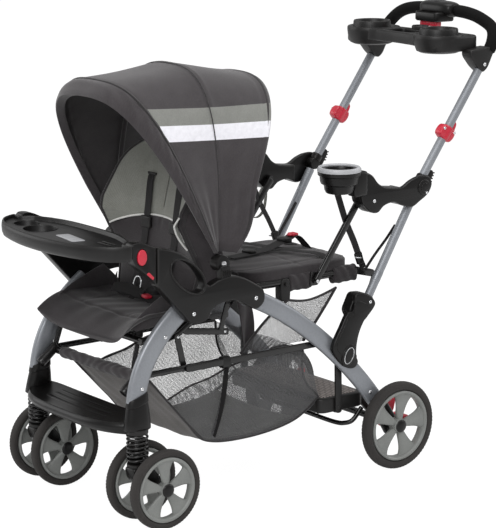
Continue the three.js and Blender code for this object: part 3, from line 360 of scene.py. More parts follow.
def addPair(name, shape, body, slotName, material, replaced=(), perSide=False, **how):
    for word, one in (("left", shape), ("right", mirrored(shape))):
        addPiece(f"{name}_{word}", one, f"{body}_{word}" if perSide else body, slotName, material,
                 [f"{node}_{word}" for node in replaced], **how)


# Adds one shader node with its settings, and links or sets its sockets
def addNode(tree, kind, sockets=None, **settings):
    node = tree.nodes.new("ShaderNode" + kind)
    for key, value in settings.items():
        setattr(node, key, value)
    for key, value in (sockets or {}).items():
        if isinstance(value, bpy.types.NodeSocket):
            tree.links.new(value, node.inputs[key])
        else:
            node.inputs[key].default_value = value
    return node


def cellsEvery(size):  # the scale of a pattern whose cells are this many millimetres across
    return 1 / (size * millimetre)


def mixedColour(tree, share, first, second):
    mix = addNode(tree, "Mix", {"Factor": share}, data_type="RGBA")
    for key, value in (("A", first), ("B", second)):
        if isinstance(value, str):
            mix.inputs[key].default_value = linear(value)
        else:
            tree.links.new(value, mix.inputs[key])
    return mix.outputs["Result"]


# A Principled material whose base colour wanders between dark and light in patches and specks, with
# the bump of its own surface. pattern(tree, where, colour) gives the height socket and perhaps a new
# colour. patch, speck and grain, the height of the bump, are millimetres.
def finishOf(name, dark, light, roughness, metallic=0, patch=60, speck=3, bump=0.2, grain=0.3,
             sockets=None, pattern=None, place="Object"):
    material = bpy.data.materials.new(name)
    material.use_nodes = True
    tree = material.node_tree
    shader = tree.nodes["Principled BSDF"]
    for key, value in {"Roughness": roughness, "Metallic": metallic, **(sockets or {})}.items():
        shader.inputs[key].default_value = value
    where = addNode(tree, "TexCoord").outputs[place]
    patches, fine = [addNode(tree, "TexNoise", {"Vector": where, "Scale": cellsEvery(size),
                                                "Detail": detail})
                     for size, detail in ((patch, 3.0), (speck, 2.0))]
    both = addNode(tree, "Math", {0: patches.outputs["Fac"], 1: fine.outputs["Fac"]}, operation="ADD")
    share = addNode(tree, "MapRange", {"Value": both.outputs[0], "From Min": 0.65, "From Max": 1.35})
    result = mixedColour(tree, share.outputs[0], dark, light)
    height = fine.outputs["Fac"]
    if pattern is not None:
        height, tint = pattern(tree, where, result)
        result = tint or result
    tree.links.new(result, shader.inputs["Base Color"])
    relief = addNode(tree, "Bump", {"Height": height, "Strength": bump, "Distance": grain * millimetre})
    tree.links.new(relief.outputs[0], shader.inputs["Normal"])
    return material


# Injection moulded polypropylene with a spark eroded grain. Its sharp edges are painted a little paler,
# partly as rubbed wear and partly as a painted sheen where edges catch the light.
def sparkGrain(tree, where, colour):
    grain = addNode(tree, "TexVoronoi", {"Vector": where, "Scale": cellsEvery(1.4)}).outputs["Distance"]
    # The sharpest edges are mixed towards a paler grey: part rubbed wear, part painted sheen
    edgeWearAndSheen = addNode(tree, "NewGeometry").outputs["Pointiness"]
    edge = addNode(tree, "MapRange", {"Value": edgeWearAndSheen, "From Min": 0.52, "From Max": 0.62, "To Max": 0.2})
    return grain, mixedColour(tree, edge.outputs[0], colour, "#4c4a49")


def pores(tree, where, colour):  # the open cells of foam rubber
    cells = addNode(tree, "TexVoronoi", {"Vector": where, "Scale": cellsEvery(2.2)})
    return cells.outputs["Distance"], None


def ribs(tree, where, colour):  # ribs across a strap every 2 mm
    wave = addNode(tree, "TexWave", {"Vector": where, "Scale": 0.314 * cellsEvery(2.0), "Distortion": 0.4},
                   bands_direction="DIAGONAL")
    return wave.outputs["Fac"], None


# Polyester plain weave: warp and weft cross every 2.4 mm, coarser than the real 0.5 mm so that it
# shows. A cloth without its own drawing takes waves of all three directions, turned off the axes.
def plainWeave(yarn, place):
    onSheet = place == "UV"

    def pattern(tree, where, colour):
        turned = addNode(tree, "Mapping",
                         {"Vector": where, "Rotation": (0, 0, 0) if onSheet else (0.5, 0.4, 0.6)})
        height = None
        for direction in "XY" if onSheet else "XYZ":
            wave = addNode(tree, "TexWave", {
                "Vector": turned.outputs[0], "Scale": 0.314 * cellsEvery(yarn), "Distortion": 1.2,
                "Detail": 2.0, "Detail Scale": 1.5}, bands_direction=direction).outputs["Fac"]
            if height is not None:
                wave = addNode(tree, "Math", {0: height, 1: wave}, operation="ADD").outputs[0]
            height = wave
        # The low parts of the weave are mixed towards near black: painted shade between the yarns
        shade = addNode(tree, "MapRange", {"Value": height, "From Min": 0.3, "From Max": 1.7,
                                           "To Min": 0.35, "To Max": 0.0})
        return height, mixedColour(tree, shade.outputs[0], colour, "#1d1b1c")
    return pattern


def wovenPolyester(name, dark, light, place="UV", yarn=2.4, roughness=0.9):
    return finishOf(name, dark, light, roughness, patch=35, speck=4, bump=0.35, grain=0.4, place=place,
                    pattern=plainWeave(yarn, place),
                    sockets={"Sheen Weight": 0.25, "Sheen Roughness": 0.5, "Specular IOR Level": 0.25})


# Knitted polyester net: round holes every 3.4 mm let the light through, coarser than the real 1.5 mm
def knittedNet(name, dark, light, every=3.4, openness=0.45):
    def holes(tree, where, colour):
        cells = addNode(tree, "TexVoronoi", {"Vector": where, "Scale": cellsEvery(every),
                                             "Randomness": 0.15})
        yarn = addNode(tree, "Math", {0: cells.outputs["Distance"], 1: openness}, operation="GREATER_THAN")
        tree.links.new(yarn.outputs[0], tree.nodes["Principled BSDF"].inputs["Alpha"])
        return cells.outputs["Distance"], None
    return finishOf(name, dark, light, 0.85, bump=0.3, grain=0.5, pattern=holes, place="UV")


# Rows of rubber blocks, each row half a block along from the next, with sunk joints between them
def blockTread(tree, where, colour):
    blocks = addNode(tree, "TexBrick", {
        "Vector": where, "Scale": 1.0, "Mortar Size": 0.0016, "Mortar Smooth": 0.3, "Brick Width": 0.026,
        "Row Height": 0.0095, "Color1": linear("#98908c"), "Color2": linear("#8d8581"),
        "Mortar": linear("#4c4644")})
    height = addNode(tree, "Math", {0: 1.0, 1: blocks.outputs["Fac"]}, operation="SUBTRACT")
    return height.outputs[0], blocks.outputs["Color"]


# Powder coated aluminium: a soft metal sheen with a faint flake. The legs' grey coat is duller.
silver = finishOf("silver powder coat", "#8a8d92", "#94979c", 0.52, metallic=0.6, patch=90, speck=9,
                  bump=0.02, grain=0.1)
legGrey = finishOf("grey powder coat", "#84878c", "#8f9297", 0.4, metallic=0.5, patch=120, speck=5,
                   bump=0.08, grain=0.15)
# Glossy black enamel on steel tube
enamel = finishOf("black enamel on steel", "#0d0c0c", "#121111", 0.25, patch=70, speck=4, bump=0.1,
                  grain=0.2)
# Grained polypropylene, and the smoother one of the housings, which catches long highlights
blackPlastic = finishOf("black polypropylene", "#0e0d0d", "#141313", 0.43, bump=0.22, grain=0.25,
                        sockets={"Specular IOR Level": 0.36}, pattern=sparkGrain)
glossBlack = finishOf("smooth black polypropylene", "#0b0a0a", "#100f0f", 0.33, bump=0.1, grain=0.15,
                      sockets={"Specular IOR Level": 0.28}, pattern=sparkGrain)
# ABS with a satin skin: grey on the wheel centres, pale on the ring of the cup holder
wheelGrey = finishOf("grey moulded ABS", "#747674", "#80827f", 0.42, patch=40, bump=0.15, grain=0.2)
paleRing = finishOf("pale grey ABS", "#a3a4a7", "#b2b3b6", 0.4, bump=0.1, grain=0.15)
# EVA foam tyre: dull, slightly brown black, with fine pores
tyre = finishOf("EVA foam tyre", "#252221", "#312e2c", 0.82, speck=1.5, bump=0.5, grain=0.4)
# Foam rubber of the grips: the dullest black, which shows no highlight
foam = finishOf("foam rubber", "#0a0a0a", "#121111", 0.9, bump=0.6, grain=0.6,
                sockets={"Specular IOR Level": 0.15}, pattern=pores)
# Red acetal of the buttons and clamps: glossy and even
red = finishOf("red acetal", "#b31a30", "#c82239", 0.38, bump=0.03, grain=0.15,
               sockets={"Coat Weight": 0.2, "Coat Roughness": 0.3})
# Chrome plate of the rivet heads: small bright points
chrome = finishOf("chrome plate", "#c9cacc", "#dcdddf", 0.18, metallic=1.0, bump=0.05, grain=0.1)
# White satin band of the hood: smooth, so that its wrinkles catch light
satin = finishOf("white satin band", "#d8d7dd", "#e5e4ea", 0.4, patch=14, speck=11, bump=0.7, grain=2.2,
                 sockets={"Sheen Weight": 0.2}, place="UV")
# Nylon webbing: a dark strap whose ribs show at its edges
webbing = finishOf("nylon webbing", "#100e0f", "#171516", 0.8, bump=0.5, grain=0.5, pattern=ribs)
# Thermoplastic rubber of the platform's top: pale blocks, 24 by 8 mm, in dark joints
tread = finishOf("rubber block tread", "#5a5350", "#645b57", 0.7, bump=0.8, grain=1.5, pattern=blockTread)

# Woven cloths: a soft, dull weave, dark on the seat and the hood and lighter on the basket
charcoal = wovenPolyester("charcoal polyester weave", "#373335", "#433f41")
charcoalPad = wovenPolyester("charcoal polyester pad", "#282426", "#332f31", place="Object")
taupe = wovenPolyester("taupe basket cloth", "#6b6765", "#787471")
greyCloth = wovenPolyester("grey polyester weave", "#777871", "#858680", place="Object")
greyStripe = wovenPolyester("grey polyester stripe", "#7d7e79", "#8b8c87")
lining = wovenPolyester("canopy lining", "#2f2c2d", "#3a3738", roughness=0.8, yarn=3.2)
piping = wovenPolyester("white piping cord", "#c9c9c6", "#dad9d6", place="Object", yarn=1.8)
darkPiping = wovenPolyester("dark piping cord", "#2b292a", "#353233", place="Object", yarn=1.8)
# Dark net: the frame behind it shows through its holes
net = knittedNet("dark knitted net", "#5a5a5b", "#686869")
print("materials ready")

# The camera stands where the photograph's did: its place comes from the photograph's own lines
photo = {"width": 496, "height": 528, "focal": 2211.649, "centreX": 261.279, "centreY": 273.254,
         "azimuth": 51.974, "elevation": 12.413, "distance": 5569.0, "target": (0, 0, 500), "sensor": 36}


def addCamera():
    turn, rise = math.radians(photo["azimuth"]), math.radians(photo["elevation"])
    back = np.array([math.sin(turn) * math.cos(rise), -math.cos(turn) * math.cos(rise), math.sin(rise)])
    data = bpy.data.cameras.new("photo camera")
    data.sensor_width = photo["sensor"]
    data.lens = photo["focal"] * photo["sensor"] / photo["height"]
    data.shift_x = (photo["width"] / 2 - photo["centreX"]) / photo["height"]
    data.shift_y = (photo["centreY"] - photo["height"] / 2) / photo["height"]
    data.clip_end = 100
    camera = bpy.data.objects.new("photo camera", data)
    camera.location = toFrame(np.array(photo["target"]) + back * photo["distance"])
    camera.rotation_euler = Vector(back).to_track_quat("Z", "Y").to_euler()
    bpy.context.scene.collection.objects.link(camera)
    bpy.context.scene.camera = camera


# Lamps are square and look at the stroller's middle. Their places and sizes are metres, power watts.
studio = {
    "world": 0.5, "floorSize": 30.0, "floorGlow": 0.86, "glowStrength": 1.12, "lookAt": (0, 0, 0.5),
    "lamps": {"key": {"place": (2.6, -3.4, 3.4), "size": 2.4, "power": 116},
              "fill": {"place": (-3.6, -2.4, 2.0), "size": 2.6, "power": 40},
              "top": {"place": (0.2, 0.4, 4.2), "size": 3.0, "power": 76},
              "rim": {"place": (1.5, 4.2, 2.6), "size": 2.4, "power": 40}}}


def addLamp(name, lamp):
    data = bpy.data.lights.new(name, "AREA")
    data.energy = lamp["power"]
    data.size = lamp["size"]
    piece = bpy.data.objects.new(name, data)
    piece.location = lamp["place"]
    back = Vector(lamp["place"]) - Vector(studio["lookAt"])
    piece.rotation_euler = back.to_track_quat("Z", "Y").to_euler()
    bpy.context.scene.collection.objects.link(piece)


def emptyTree(owner):  # the node tree of a world or a material, with nothing in it
    owner.use_nodes = True
    owner.node_tree.nodes.clear()
    return owner.node_tree


# Looked at, the world is plain white. To light falling on the stroller it is dimmer.
def addWorld():
    world = bpy.data.worlds.new("studio")
    bpy.context.scene.world = world
    tree = emptyTree(world)
    path = addNode(tree, "LightPath").outputs
    seen = addNode(tree, "Math", {0: path["Is Camera Ray"], 1: path["Is Transmission Ray"]},
                   operation="MAXIMUM")
    plain, white = [addNode(tree, "Background", {"Color": linear("#ffffff"), "Strength": strength})
                    for strength in (studio["world"], 1.0)]
    mix = addNode(tree, "MixShader", {0: seen.outputs[0], 1: plain.outputs[0], 2: white.outputs[0]})
    addNode(tree, "OutputWorld", {"Surface": mix.outputs[0]})


# White paper that glows a little towards the camera, so that only the soft shadow is seen on it
def addFloor():
    half = studio["floorSize"] / 2
    mesh = bpy.data.meshes.new("floor")
    mesh.from_pydata([(-half, -half, 0), (half, -half, 0), (half, half, 0), (-half, half, 0)], [],
                     [(0, 1, 2, 3)])
    floor = bpy.data.objects.new("floor", mesh)
    bpy.context.scene.collection.objects.link(floor)
    material = bpy.data.materials.new("white paper floor")
    tree = emptyTree(material)
    paper = addNode(tree, "BsdfDiffuse", {"Color": linear("#f4f4f4")})
    glow = addNode(tree, "Emission", {"Color": linear("#ffffff"), "Strength": studio["glowStrength"]})
    seen = addNode(tree, "LightPath").outputs["Is Camera Ray"]
    share = addNode(tree, "Math", {0: seen, 1: studio["floorGlow"]}, operation="MULTIPLY")
    mix = addNode(tree, "MixShader", {0: share.outputs[0], 1: paper.outputs[0], 2: glow.outputs[0]})
    addNode(tree, "OutputMaterial", {"Surface": mix.outputs[0]})
    mesh.materials.append(material)


addCamera()
bpy.context.scene.view_settings.view_transform = "Standard"
addWorld()
addFloor()
for lampName, lamp in studio["lamps"].items():
    addLamp(f"{lampName} lamp", lamp)
print("camera and lights ready")

# The legs and handle tubes stand side by side: how far from the stroller's middle, and half as thick
legX = 208
legHalf = 12
housingInner = legX + legHalf + 0.4

# Wheels: hub, rim and cap are radii, bore is the hole for the axle and turn sets the first spoke
frontWheel = {"radius": 96, "width": 24, "rim": 78, "hub": 16.5, "cap": 16.5, "spokes": 5,
              "spokeAngle": 0.36, "turn": 0.35, "bore": 6, "y": -490, "z": 96, "outer": 263, "inner": 164}
rearWheel = {"radius": 113, "width": 28, "rim": 90, "hub": 18, "cap": 17, "spokes": 5, "spokeAngle": 0.36,
             "turn": 0.1, "bore": 6, "y": 252, "z": 113, "track": 239}
tyreTread = {"notches": 72, "depth": 0.7, "sides": 216}


# The tyre: a rounded section turned round the axle, its shoulders notched by a cosine of the angle
def tyreShape(size, x):
    half, middle = (size["radius"] - size["rim"]) / 2, (size["radius"] + size["rim"]) / 2
    section = ovalSection(half, size["width"] / 2, 22, 2.8)
    angle = roundAngles(tyreTread["sides"])
    outwardShare = unit((section[:, 0] / half - 0.1) * 1.6)[:, None]
    shoulder = outwardShare * (np.abs(section[:, 1:]) / size["width"] * 2)
    notch = tyreTread["depth"] * shoulder * (np.cos(angle * tyreTread["notches"])[None, :] > 0.45)
    radius = middle + section[:, :1] - notch * 0.6
    along = section[:, 1:] - np.sign(section[:, 1:]) * notch
    points = np.stack([x + along + 0 * angle, size["y"] + radius * np.cos(angle),
                       size["z"] + radius * np.sin(angle)], 2)
    return gridShape(points, wrapRows=True, wrapColumns=True)


# A spoke: narrow at the hub and wide at the rim, crowned across and bowed along its length
def spokeShape(size, x, angle):
    t = np.linspace(0, 1, 15)[:, None]
    radius = size["hub"] * 0.85 + t * (size["rim"] - 5 - size["hub"] * 0.85)
    halfWidth = radius * size["spokeAngle"] * (0.86 + 0.42 * (1 - t)**3 + 0.3 * t**6)
    halfThick = size["width"] * (0.36 - 0.16 * np.sin(np.pi * t) - 0.02 * t)
    around = roundAngles(20)[None]
    side = bent(np.cos(around), 0.6) * halfWidth
    out = bent(np.sin(around), 0.8) * halfThick
    turn = angle + side / radius
    points = np.stack([x + out, size["y"] + radius * np.cos(turn), size["z"] + radius * np.sin(turn)], 2)
    return gridShape(points, wrapColumns=True, caps=True)


def wheelCentre(size, x):
    half, rim, place = size["width"] / 2, size["rim"] + 0.3, (x, size["y"], size["z"])
    ring = [(rim, -half * 0.86), (rim, half * 0.86), (rim - 2, half), (rim - 5, half * 1.02),
            (rim - 8, half * 0.86), (rim - 10, half * 0.45), (rim - 10.5, 0), (rim - 10, -half * 0.45),
            (rim - 8, -half * 0.86), (rim - 5, -half * 1.02), (rim - 2, -half)]
    hub = [(size["bore"], -half - 2), (size["hub"] - 4, -half - 2), (size["hub"], -half + 2),
           (size["hub"], half - 2), (size["hub"] - 4, half + 2), (size["bore"], half + 2)]
    turns = size["turn"] + roundAngles(size["spokes"])
    return joined(revolved(ring, place, (1, 0, 0), 96, closed=True),
                  revolved(hub, place, (1, 0, 0), 40, closed=True),
                  *[spokeShape(size, x, turn) for turn in turns])


def hubCaps(size, x):
    half, r = size["width"] / 2 + 1, size["cap"]
    dome = [(0, 5.2), (r * 0.4, 4.8), (r * 0.72, 3.6), (r * 0.92, 1.6), (r, -0.5), (r * 0.9, -3), (0, -3)]
    place = (x, size["y"], size["z"])
    return joined(*[revolved([(a, side * (half + b)) for a, b in dome], place, (1, 0, 0))
                    for side in (1, -1)])


def addWheel(name, body, size, x):
    addPiece(f"{name}_foam_tyre", tyreShape(size, x), body, "tyre_rubber", tyre, [f"{name}_tyre"], sharp=50)
    addPiece(f"{name}_centre", wheelCentre(size, x), body, "wheel_grey", wheelGrey, [f"{name}_wheel"])
    addPiece(f"{name}_hub_caps", hubCaps(size, x), body, "black_plastic", glossBlack)


for word, sign in sideSigns.items():
    for where in ("outer", "inner"):
        addWheel(f"front_{where}_{word}", f"front_wheel_{where}_{word}", frontWheel,
                 sign * frontWheel[where])
    addWheel(f"rear_{word}", f"rear_wheel_{word}", rearWheel, sign * rearWheel["track"])
print("wheels ready")

# Casters: a sprung stem in each boot, with the fork between its two wheels
caster = {"x": 213.5, "y": -533, "stem": 6, "stemTop": 284, "stemLow": 122, "springLow": 159,
          "springHigh": 228, "springRadius": 23.6, "wire": 3.1, "turns": 7, "travel": 10, "head": 23,
          "cheek": 19, "axle": 5}


# A helix: round and up at a steady rate, with a flat turn at each end
def springShape():
    t = np.linspace(0, 1, caster["turns"] * 26 + 1)
    angle = t * caster["turns"] * 2 * np.pi
    ends = caster["wire"] + 0.3
    low, high = caster["springLow"] + ends, caster["springHigh"] - ends
    rise = unit((t - 0.06) / 0.88)
    route = np.stack([caster["x"] + caster["springRadius"] * np.cos(angle),
                      caster["y"] + caster["springRadius"] * np.sin(angle), low + (high - low) * rise], 1)
    return tube(route, caster["wire"], 10, side=(0, 0, 1), ease=1.5)


def forkShape():
    x, y, half, head = caster["x"], caster["y"], caster["cheek"], caster["head"]
    wheelY, wheelZ = frontWheel["y"], frontWheel["z"]
    outline = smoothRoute([
        (y - 23, 146), (y - 22, 128), (y - 12, 112), (wheelY - 18, wheelZ - 6), (wheelY, wheelZ - 16),
        (wheelY + 15, wheelZ - 4), (wheelY + 14, wheelZ + 14), (wheelY + 2, 128), (y + 24, 148), (y, 151)],
        60, closed=True)
    ribOutline = outline * 0.84 + np.array([y, 128]) * 0.16  # the same outline drawn in towards its middle
    crown = [(0, 122), (20, 122), (head, 128), (head, 150), (head + 2.5, 151), (head + 2.5, 156),
             (head, 157.6), (0, 157.6)]
    return joined(plate(outline, x - half, x + half, 5), plate(ribOutline, x - half - 2, x + half + 2, 2),
                  revolved(crown, (x, y, 0), sides=48),
                  rod((150, wheelY, wheelZ), (277, wheelY, wheelZ), caster["axle"], 20))


casterFoot = (caster["x"], caster["y"], 0)
stemRod = rod((caster["x"], caster["y"], caster["stemLow"]), (caster["x"], caster["y"], caster["stemTop"]),
              caster["stem"], 24)
stemCollar = revolved([(0, 160), (19, 160), (20.5, 163), (20.5, 168), (16, 172), (12, 186), (0, 186)],
                      casterFoot)
addPair("caster_post", joined(stemRod, stemCollar), "suspension", "black_steel", enamel, ["caster_stem"],
        perSide=True)
addPair("caster_fork_body", forkShape(), "caster", "black_plastic", glossBlack, ["caster_fork"],
        perSide=True)
for word, sign in sideSigns.items():
    coil = addPiece(f"coil_spring_{word}", springShape() if sign > 0 else mirrored(springShape()),
                    f"suspension_{word}", "black_steel", enamel, [f"caster_spring_{word}"], sharp=60)
    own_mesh(coil)
print("casters ready")


def rivet(y, z, x=legX + legHalf, radius=5.2, proud=2.6):  # a domed head on a flat side, facing out
    dome = [(0, proud), (radius * 0.55, proud * 0.85), (radius * 0.9, proud * 0.4), (radius, 0),
            (radius, -1), (0, -1)]
    return revolved(dome, (x, y, z), (1, 0, 0), 20)


# Front legs, flat ovals bent forwards, and the footrest that joins them
frontLeg = {"places": [(-533, 298), (-521, 420), (-392, 508)], "width": 50,
            "rivets": [(-454, 447), (-521, 333)]}
frontLegRoute = bezier([(legX, *place) for place in frontLeg["places"]], 40)
addPair("front_leg_tube", tube(frontLegRoute, frontLeg["width"] / 2, 40, across=legHalf, power=2.7, ease=3),
        "front_frame", "silver_paint", legGrey, ["front_leg"])
addPair("front_leg_rivets", joined(*[rivet(*place) for place in frontLeg["rivets"]]), "front_frame",
        "silver_paint", chrome)

footrest = {"halfWidth": 227, "front": 612, "rear": 495, "sweep": 72, "corner": 34, "low": 228, "lip": 257,
            "rearTop": 263, "dish": 7, "grooves": 5, "grooveDepth": 0.9, "bootLow": 237, "bootHeight": 79}


# The footrest: its front edge falls back towards both ends as the fourth power of the distance from the
# middle. Each slice is a dished tread with a raised lip, a rounded nose and a flat underside, and the
# grooves follow the front edge.
def footrestShape():
    share = np.linspace(-1, 1, 81)[:, None]
    back = np.linspace(0.06, 0.97, 60)[None, :]
    front = -footrest["front"] + footrest["sweep"] * share**4
    rear = -footrest["rear"] - footrest["corner"] * share**12
    depth = rear - front
    bowl = np.sin(np.pi * back)**0.5 * footrest["dish"] * (0.35 + 0.65 * (1 - share**2))
    groove = (np.cos(back * footrest["grooves"] * 2 * np.pi) > 0.35) & (back > 0.3) & (back < 0.8)
    groove = groove * footrest["grooveDepth"] * (np.abs(share) < 0.55)
    top = footrest["lip"] + back * (footrest["rearTop"] - footrest["lip"]) - bowl - groove
    nose = np.linspace(0, 1, 9)[None, 1:-1]
    noseY = front + 7 - 7 * np.sin(np.pi * nose) - 3 * nose * (1 - nose)
    noseZ = footrest["low"] + 3 + nose * (footrest["lip"] - footrest["low"] - 4) + 0 * share
    lower = np.linspace(0.96, 0.1, 6)[None, :]
    y = np.concatenate([front + depth * lower, noseY, front + depth * back, rear], 1)
    z = np.concatenate([footrest["low"] + 0 * share * lower, noseZ, top,
                        footrest["rearTop"] - 4 + 0 * share], 1)
    return gridShape(np.stack([footrest["halfWidth"] * share + 0 * y, y, z], 2), wrapColumns=True, caps=True)


# A boot: rounded rings from the spring seat up to the slanting collar round the leg
def bootShape():
    up = np.array([0, 0.02, 0.06, 0.3, 0.55, 0.74, 0.76, 0.8, 0.97, 1.0])[:, None]
    swell = np.array([0.9, 0.97, 1.0, 0.985, 0.95, 0.9, 0.95, 0.95, 0.93, 0.89])[:, None]
    angle = roundAngles(48)
    x = caster["x"] + (legX - caster["x"]) * up + bent(np.cos(angle), 0.8) * (21 - 3 * up) * swell
    y = caster["y"] + 4 * up + bent(np.sin(angle), 0.8) * (35 - 6 * up) * swell
    z = footrest["bootLow"] + up * footrest["bootHeight"] + 0.32 * up * (y - caster["y"])
    return gridShape(np.stack([x, y, z], 2), wrapColumns=True, caps=True)


springSeat = revolved([(0, 228), (25, 228), (26, 230), (26, 240), (0, 240)], casterFoot)
addPiece("footrest_moulding", joined(footrestShape(), bootShape(), mirrored(bootShape()), springSeat,
                                     mirrored(springSeat)),
         "front_frame", "black_plastic", glossBlack, ["footrest"], sharp=32)
print("front legs and footrest ready")

# Armrest housings, parted by a seam behind the tray, with a long oval window for the fold
armrest = {"inner": housingInner, "outer": housingInner + 29, "ease": 4.5, "seam": -498, "gap": 0.9,
           "window": (-409, 590), "windowHalf": (56, 27), "windowTurn": -0.69, "lip": 3.5,
           "rivets": [(-393, 499), (-210, 511)]}
armrestOutline = smoothRoute([
    (-566, 662), (-562, 684), (-540, 686), (-498, 669), (-450, 657), (-408, 634), (-372, 598), (-347, 561),
    (-318, 569), (-288, 574), (-255, 569), (-215, 549), (-186, 527), (-184, 500), (-206, 484), (-232, 495),
    (-262, 512), (-300, 514), (-334, 505), (-352, 481), (-376, 474), (-400, 478), (-430, 508), (-478, 560),
    (-520, 604), (-556, 636)], 220, closed=True)
trayButton = {"place": (-538, 652), "half": (13, 18.5)}
hub = {"x": 206, "y": -296, "z": 603}


def fromGap(loop):  # what is left of a cut loop, starting where it was cut
    return np.roll(loop, -int(np.argmax(np.linalg.norm(np.diff(loop, axis=0), axis=1))) - 1, axis=0)


def housingShape():
    inner, outer, ease = armrest["inner"], armrest["outer"], armrest["ease"]
    front = fromGap(armrestOutline[armrestOutline[:, 0] < armrest["seam"] - armrest["gap"]])
    rear = fromGap(armrestOutline[armrestOutline[:, 0] > armrest["seam"] + armrest["gap"]])
    window = oval(armrest["window"], *armrest["windowHalf"], 64, armrest["windowTurn"])
    pocket = oval(trayButton["place"], trayButton["half"][0] + 1, trayButton["half"][1] + 1, 40)
    mount = roundCorners([(hub["y"] - 15, 560), (hub["y"] + 15, 560), (hub["y"] + 13, 600),
                          (hub["y"] - 13, 600)], 5)
    return joined(plate(front, inner, outer, ease * 0.5, holes=[pocket]),
                  plate(rear, inner, outer, ease, holes=[window]),
                  plate(mount, inner + 5, outer - 4, 2), plate(pocket, inner + 4, inner + 10, 0.5))


# The window's raised lip: a soft ridge that stands just proud of the housing on both sides
def windowLip():
    half = np.array(armrest["windowHalf"]) + armrest["lip"]
    ring = oval(armrest["window"], *half, 64, armrest["windowTurn"])
    return joined(*[tube(np.insert(ring, 0, x, axis=1), 2.2, 10, closed=True)
                    for x in (armrest["outer"] - 0.2, armrest["inner"] + 0.2)])


hubDisc = revolved([(0, 0), (18, 0), (20, 2), (20, 26), (18.5, 29), (14, 30), (0, 30)],
                   (hub["x"], hub["y"], hub["z"]), (1, 0, 0), 48)
comb = [block((armrest["outer"] - 5, hub["y"] - 14 + 6 * k, 575),
              (armrest["outer"] - 1, hub["y"] - 11 + 6 * k, 588), 0.8) for k in range(5)]
addPair("armrest_housing", joined(housingShape(), windowLip(), hubDisc, *comb), "front_frame",
        "black_plastic", glossBlack, ["armrest"])
hubFace = revolved([(0, 3.4), (4, 3), (6.6, 1.6), (7.4, -0.5), (0, -0.5)],
                   (hub["x"] + 30, hub["y"], hub["z"]), (1, 0, 0))
addPair("armrest_rivets", joined(hubFace, *[rivet(y, z, armrest["outer"]) for y, z in armrest["rivets"]]),
        "front_frame", "silver_paint", chrome)
buttonShape = plate(oval(trayButton["place"], *trayButton["half"], 40), armrest["outer"] - 8,
                    armrest["outer"] + 2.2, 2.6, steps=5)
addPair("tray_release_button", buttonShape, "tray_button", "red_plastic", red, ["tray_button"], perSide=True)
catch = plate(roundCorners([(-527, 612), (-509, 596), (-505, 601), (-520, 616)], 3), armrest["outer"] - 3,
              armrest["outer"] + 1.4, 1)
addPair("tray_catch_tip", catch, "front_frame", "red_plastic", red)
print("armrests ready")

# Child tray: a deep rim round a sunk deck with two cup wells at the child's right. Each well is its
# place, its radius and its depth.
childTray = {"half": 251, "back": 567, "front": 677, "childEdge": 500, "low": 645, "high": 682, "deck": 672,
             "wells": [(-172, -582, 31, 27), (-97, -591, 41, 28)], "arm": 30, "shoulder": 196,
             "slots": [(150, -560), (150, -574)], "wellSides": 48}


def trayOutline():
    half, back, front = childTray["half"], childTray["back"], childTray["front"]
    side = [(half, -back), (0.94 * half, -0.9 * back - 0.1 * front - 27), (0.7 * half, -front + 29),
            (0.36 * half, -front + 7)]
    inner = [(0.5 * half, -childTray["childEdge"] - 8), (childTray["shoulder"], -back + 30),
             (half - childTray["arm"], -back)]
    flip = [[(-x, y) for x, y in places[::-1]] for places in (side, inner)]
    return smoothRoute(side + [(0, -front)] + flip[0] + flip[1] + [(0, -childTray["childEdge"])] + inner,
                       240, closed=True)


# The tray: rows of the outline, drawn in and raised to make a chamfered wall, a round rim and the step
# down to the deck. Each well starts on its own loop of the deck and turns down to a floor.
def childTrayShape():
    low, high, deck, sides = [childTray[key] for key in ("low", "high", "deck", "wellSides")]
    loop = trayOutline()
    rows = np.array([(17, low), (11, low + 0.8), (5, low + 5), (1.4, low + 12), (0, high - 14),
                     (0.4, high - 8), (2, high - 3), (4.5, high - 0.6), (7.5, high), (10, high - 1),
                     (12, high - 4), (13, deck + 2), (14.5, deck + 0.4), (17, deck)])
    narrow = np.clip(1 - (np.abs(loop[:, 0]) - 150) / 140, 0.45, 1)[None, :, None]
    flat = loop[None] - rows[:, :1, None] * outwards(loop)[None] * narrow
    wall = np.concatenate([flat, np.broadcast_to(rows[:, 1:, None], flat.shape[:2] + (1,))], 2)
    shapes, rims = [gridShape(wall, wrapColumns=True)], [wall[-1][:, :2]]
    start = len(rows) * len(loop)
    numbers = list(range(start - len(loop), start))
    for x, y, radius, depth in childTray["wells"]:
        profile = [(radius + 2.5, deck), (radius + 1.4, deck + 1.3), (radius, deck + 0.8),
                   (radius - 0.8, deck - 1), (radius - 3, deck - depth + 4), (radius - 6, deck - depth),
                   (0.5, deck - depth)]
        points, faces = revolved(profile, (x, y, 0), sides=sides)
        shapes.append((points, faces + [list(range(len(points) - sides, len(points)))]))
        rims.append(points[:sides, :2])
        numbers += list(range(start, start + sides))
        start += len(points)
    points, faces = joined(*shapes)
    faces += [[numbers[k] for k in corner] for corner in tessellated(rims)]
    return points, faces + [list(corner) for corner in tessellated([wall[0][:, :2]])]


slots = [block((x - 26, y - 2.5, childTray["deck"] - 0.6), (x + 26, y + 2.5, childTray["deck"] + 2.2), 1.4)
         for x, y in childTray["slots"]]
addPiece("child_tray_moulding", joined(childTrayShape(), *slots), "child_tray", "black_plastic",
         blackPlastic, ["child_tray"], sharp=34)
inlay = plate(roundCorners([(-8, -606), (84, -618), (92, -586), (0, -574)], 6), childTray["deck"] - 0.5,
              childTray["deck"] + 0.9, 0.4, plane="top")
addPiece("child_tray_inlay", inlay, "child_tray", "black_plastic", paleRing)
print("child tray ready")

